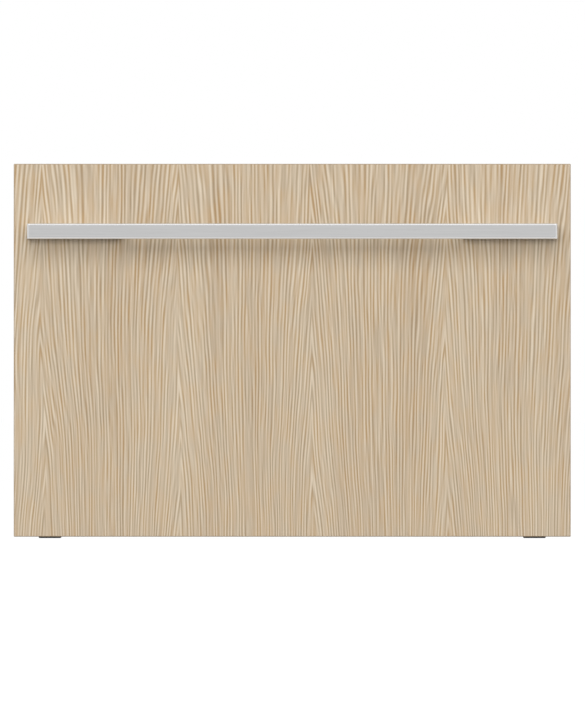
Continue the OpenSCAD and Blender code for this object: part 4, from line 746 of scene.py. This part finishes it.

# ---------------------------------------------------------------- handle
# The bar and its two posts are stainless steel, brushed along their length. A polished
# chamfer, painted paler as a highlight, runs all round the bar's front, and screws through the
# panel hold the posts.


def steel(name, dark, pale, low, high):
    """Stainless steel, with the scratches of the belt that ground it along its length."""
    finish = new_finish(name)
    place = add(finish, "ShaderNodeTexCoord").outputs["Object"]
    # The belt's scratches are 0.1 mm wide, drawn at 0.9 mm to show
    belt = add(finish, "ShaderNodeMapping",
               {"Vector": place, "Scale": (1 / 0.05, 1 / 0.0009, 1 / 0.0009)})
    scratch = add(finish, "ShaderNodeTexNoise",
                  {"Vector": belt.outputs[0], "Scale": 1.0, "Detail": 4.0, "Roughness": 0.6})
    metal = add(finish, "ShaderNodeMix",
                {0: scratch.outputs["Fac"], 6: linear(dark), 7: linear(pale)},
                data_type="RGBA")
    gloss = add(finish, "ShaderNodeMapRange", {0: scratch.outputs["Fac"], 3: low, 4: high})
    furrows = add(finish, "ShaderNodeBump",
                  {"Strength": 0.08, "Distance": 0.0001, "Height": scratch.outputs["Fac"]})
    # The scratches spread the gloss up and down, across their own length
    spread = add(finish, "ShaderNodeTangent", direction_type="RADIAL", axis="X")
    shader = add(finish, "ShaderNodeBsdfPrincipled",
                 {"Base Color": metal.outputs[2], "Metallic": 1.0,
                  "Roughness": gloss.outputs[0], "Normal": furrows.outputs[0],
                  "Anisotropic": 0.5, "Tangent": spread.outputs[0]})
    return close_finish(finish, shader)


stainless = steel("brushed_stainless_steel", "#BABABA", "#CCCCCC", 0.24, 0.36)
# The chamfer is polished, so its gloss is finer, and its steel is painted paler than the bar's:
# a painted highlight along the chamfer
polished = steel("polished_chamfer_with_painted_highlight", "#D2D2D2", "#DADADA", 0.12, 0.18)


def pick_edges(piece, test):
    """Selects the edges whose two ends pass a test, and leaves the piece in edit mode."""
    only(piece)
    bpy.ops.object.mode_set(mode="EDIT")
    bpy.ops.mesh.select_mode(type="EDGE")
    bpy.ops.mesh.select_all(action="DESELECT")
    bpy.ops.object.mode_set(mode="OBJECT")
    for edge in piece.data.edges:
        a, b = (piece.data.vertices[end].co for end in edge.vertices)
        edge.select = test(a, b)
    bpy.ops.object.mode_set(mode="EDIT")


CHAMFER = 0.0017        # cut off the bar's front edges
ROUNDING = 0.0008       # of the chamfer's outer edge and the bar's other edges

low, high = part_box("handle_bar")
bar = slab("handle_bar_chamfered", low, high)
front = low.y + 0.00001
pick_edges(bar, lambda a, b: a.y < front and b.y < front)
bpy.ops.mesh.bevel(offset=CHAMFER, offset_type="OFFSET", segments=1, affect="EDGES")
pick_edges(bar, lambda a, b: a.y > front or b.y > front)
bpy.ops.mesh.bevel(offset=ROUNDING, offset_type="OFFSET", segments=4, affect="EDGES")
bpy.ops.mesh.select_all(action="SELECT")
bpy.ops.mesh.remove_doubles(threshold=0.00001)
bpy.ops.mesh.normals_make_consistent(inside=False)
bpy.ops.object.mode_set(mode="OBJECT")
keep_flat(bar, 30)
finish_piece(bar, stainless, "drawer", "stainless_handle", "handle_bar")
bar.data.materials.append(polished)
for face in bar.data.polygons:
    if max(abs(part) for part in face.normal) < 0.99:
        face.material_index = 1
softened("handle_posts", 0.0005, stainless, "stainless_handle")

# ---------------------------------------------------------------- studio
# A plain pale floor, a white surround, two large soft lamps in front, and weaker lamps for
# the sides, the back and the top. One strip above is seen only in polished edges.


def looked_at(surface):
    """Is 1 where the camera looks at a surface, itself or in gloss or glass, and else 0."""
    paths = add(surface, "ShaderNodeLightPath")
    seen = add(surface, "ShaderNodeMath",
               {0: paths.outputs["Is Camera Ray"], 1: paths.outputs["Is Glossy Ray"]},
               operation="MAXIMUM")
    return add(surface, "ShaderNodeMath",
               {0: seen.outputs[0], 1: paths.outputs["Is Transmission Ray"]},
               operation="MAXIMUM")


# What is seen of the floor is 0.85 a glow, at 1.17 so that the whole comes out white, and
# the rest takes the object's shadow
WHITE_SHARE = 0.85

pale = new_finish("pale_studio_floor")
share = add(pale, "ShaderNodeMath", {0: looked_at(pale).outputs[0], 1: WHITE_SHARE},
            operation="MULTIPLY")
matt = add(pale, "ShaderNodeBsdfDiffuse", {"Color": linear("#787878")})
glow = add(pale, "ShaderNodeEmission", {"Color": (1, 1, 1, 1), "Strength": 1.17})
both = add(pale, "ShaderNodeMixShader",
           {0: share.outputs[0], 1: matt.outputs[0], 2: glow.outputs[0]})
add(pale, "ShaderNodeOutputMaterial", {"Surface": both.outputs[0]})
bpy.ops.object.select_all(action="DESELECT")
bpy.ops.mesh.primitive_plane_add(size=80, location=(0, 0, 0))
floor = bpy.context.object
floor.name = "studio_floor"
floor.data.materials.append(pale)

world = bpy.data.worlds.new("white_surround")
bpy.context.scene.world = world
world.use_nodes = True
world.node_tree.nodes.clear()
fill = add(world, "ShaderNodeBackground", {"Color": (1, 1, 1, 1), "Strength": 0.17})
white = add(world, "ShaderNodeBackground", {"Color": (1, 1, 1, 1), "Strength": 1.0})
both = add(world, "ShaderNodeMixShader",
           {0: looked_at(world).outputs[0], 1: fill.outputs[0], 2: white.outputs[0]})
add(world, "ShaderNodeOutputWorld", {"Surface": both.outputs[0]})


def lamp(name, place, target, width, depth, power, gloss_only=False):
    """A soft rectangular lamp that faces its target, for matt surfaces or for gloss alone."""
    light = bpy.data.lights.new(name, "AREA")
    light.shape = "RECTANGLE"
    light.size = width
    light.size_y = depth
    light.energy = power
    stand = bpy.data.objects.new(name, light)
    stand.visible_camera = False
    stand.visible_glossy = gloss_only
    stand.visible_diffuse = not gloss_only
    stand.location = place
    stand.rotation_euler = (Vector(target) - Vector(place)).to_track_quat("-Z", "Y").to_euler()
    bpy.context.scene.collection.objects.link(stand)
    return stand


# Each lamp's place, what it faces, its width and depth in metres, and its power in watts
lamp("key_box", (-0.5, -10.92, 6.16), (0, -0.25, 0.25), 9.0, 6.5, 650)
low_box = lamp("low_box", (-0.4, -12.33, 2.03), (0, -0.25, 0.33), 9.0, 3.0, 700)
# In the photograph the wood under the bar is shaded by the handle's posts, and little by its
# bar, so the bar doesn't stop the lower lamp's light
shades_nothing = bpy.data.collections.new("no_shade_from_the_lower_lamp")
shades_nothing.objects.link(bar)
shades_nothing.collection_objects[0].light_linking.link_state = "EXCLUDE"
low_box.light_linking.blocker_collection = shades_nothing
lamp("side_lamp", (-3.2, -0.1, 1.3), (0, 0.1, 0.2), 2.4, 2.4, 42)
lamp("other_side_lamp", (3.2, 0.0, 1.4), (0, 0.1, 0.2), 2.4, 2.4, 42)
lamp("back_lamp", (0.6, 3.4, 2.0), (0, 0.2, 0.2), 2.4, 1.8, 60)
lamp("top_lamp", (0, 0.3, 3.2), (0, 0.1, 0.3), 3.0, 2.2, 24)
lamp("edge_strip", (0, -0.85, 3.0), (0, -0.3, 0.3), 3.0, 1.0, 12, gloss_only=True)

# The photograph was taken from straight in front, through a very long lens
MM_PER_PIXEL = 1.0701   # at the panel's face
PHOTO_HEIGHT = 702      # in pixels
distance = 24.0
aim_x, aim_z = 0.0003, 0.2007
front_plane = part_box("wood_panel")[0].y
camera = bpy.data.cameras.new("camera")
camera.sensor_fit = "VERTICAL"
camera.sensor_height = 36.0
camera.lens = camera.sensor_height * distance * 1000 / (PHOTO_HEIGHT * MM_PER_PIXEL)
stand = bpy.data.objects.new("camera", camera)
stand.location = (aim_x, front_plane - distance, aim_z)
stand.rotation_euler = (math.radians(90), 0, 0)
bpy.context.scene.collection.objects.link(stand)
bpy.context.scene.camera = stand
bpy.context.scene.view_settings.view_transform = "Standard"
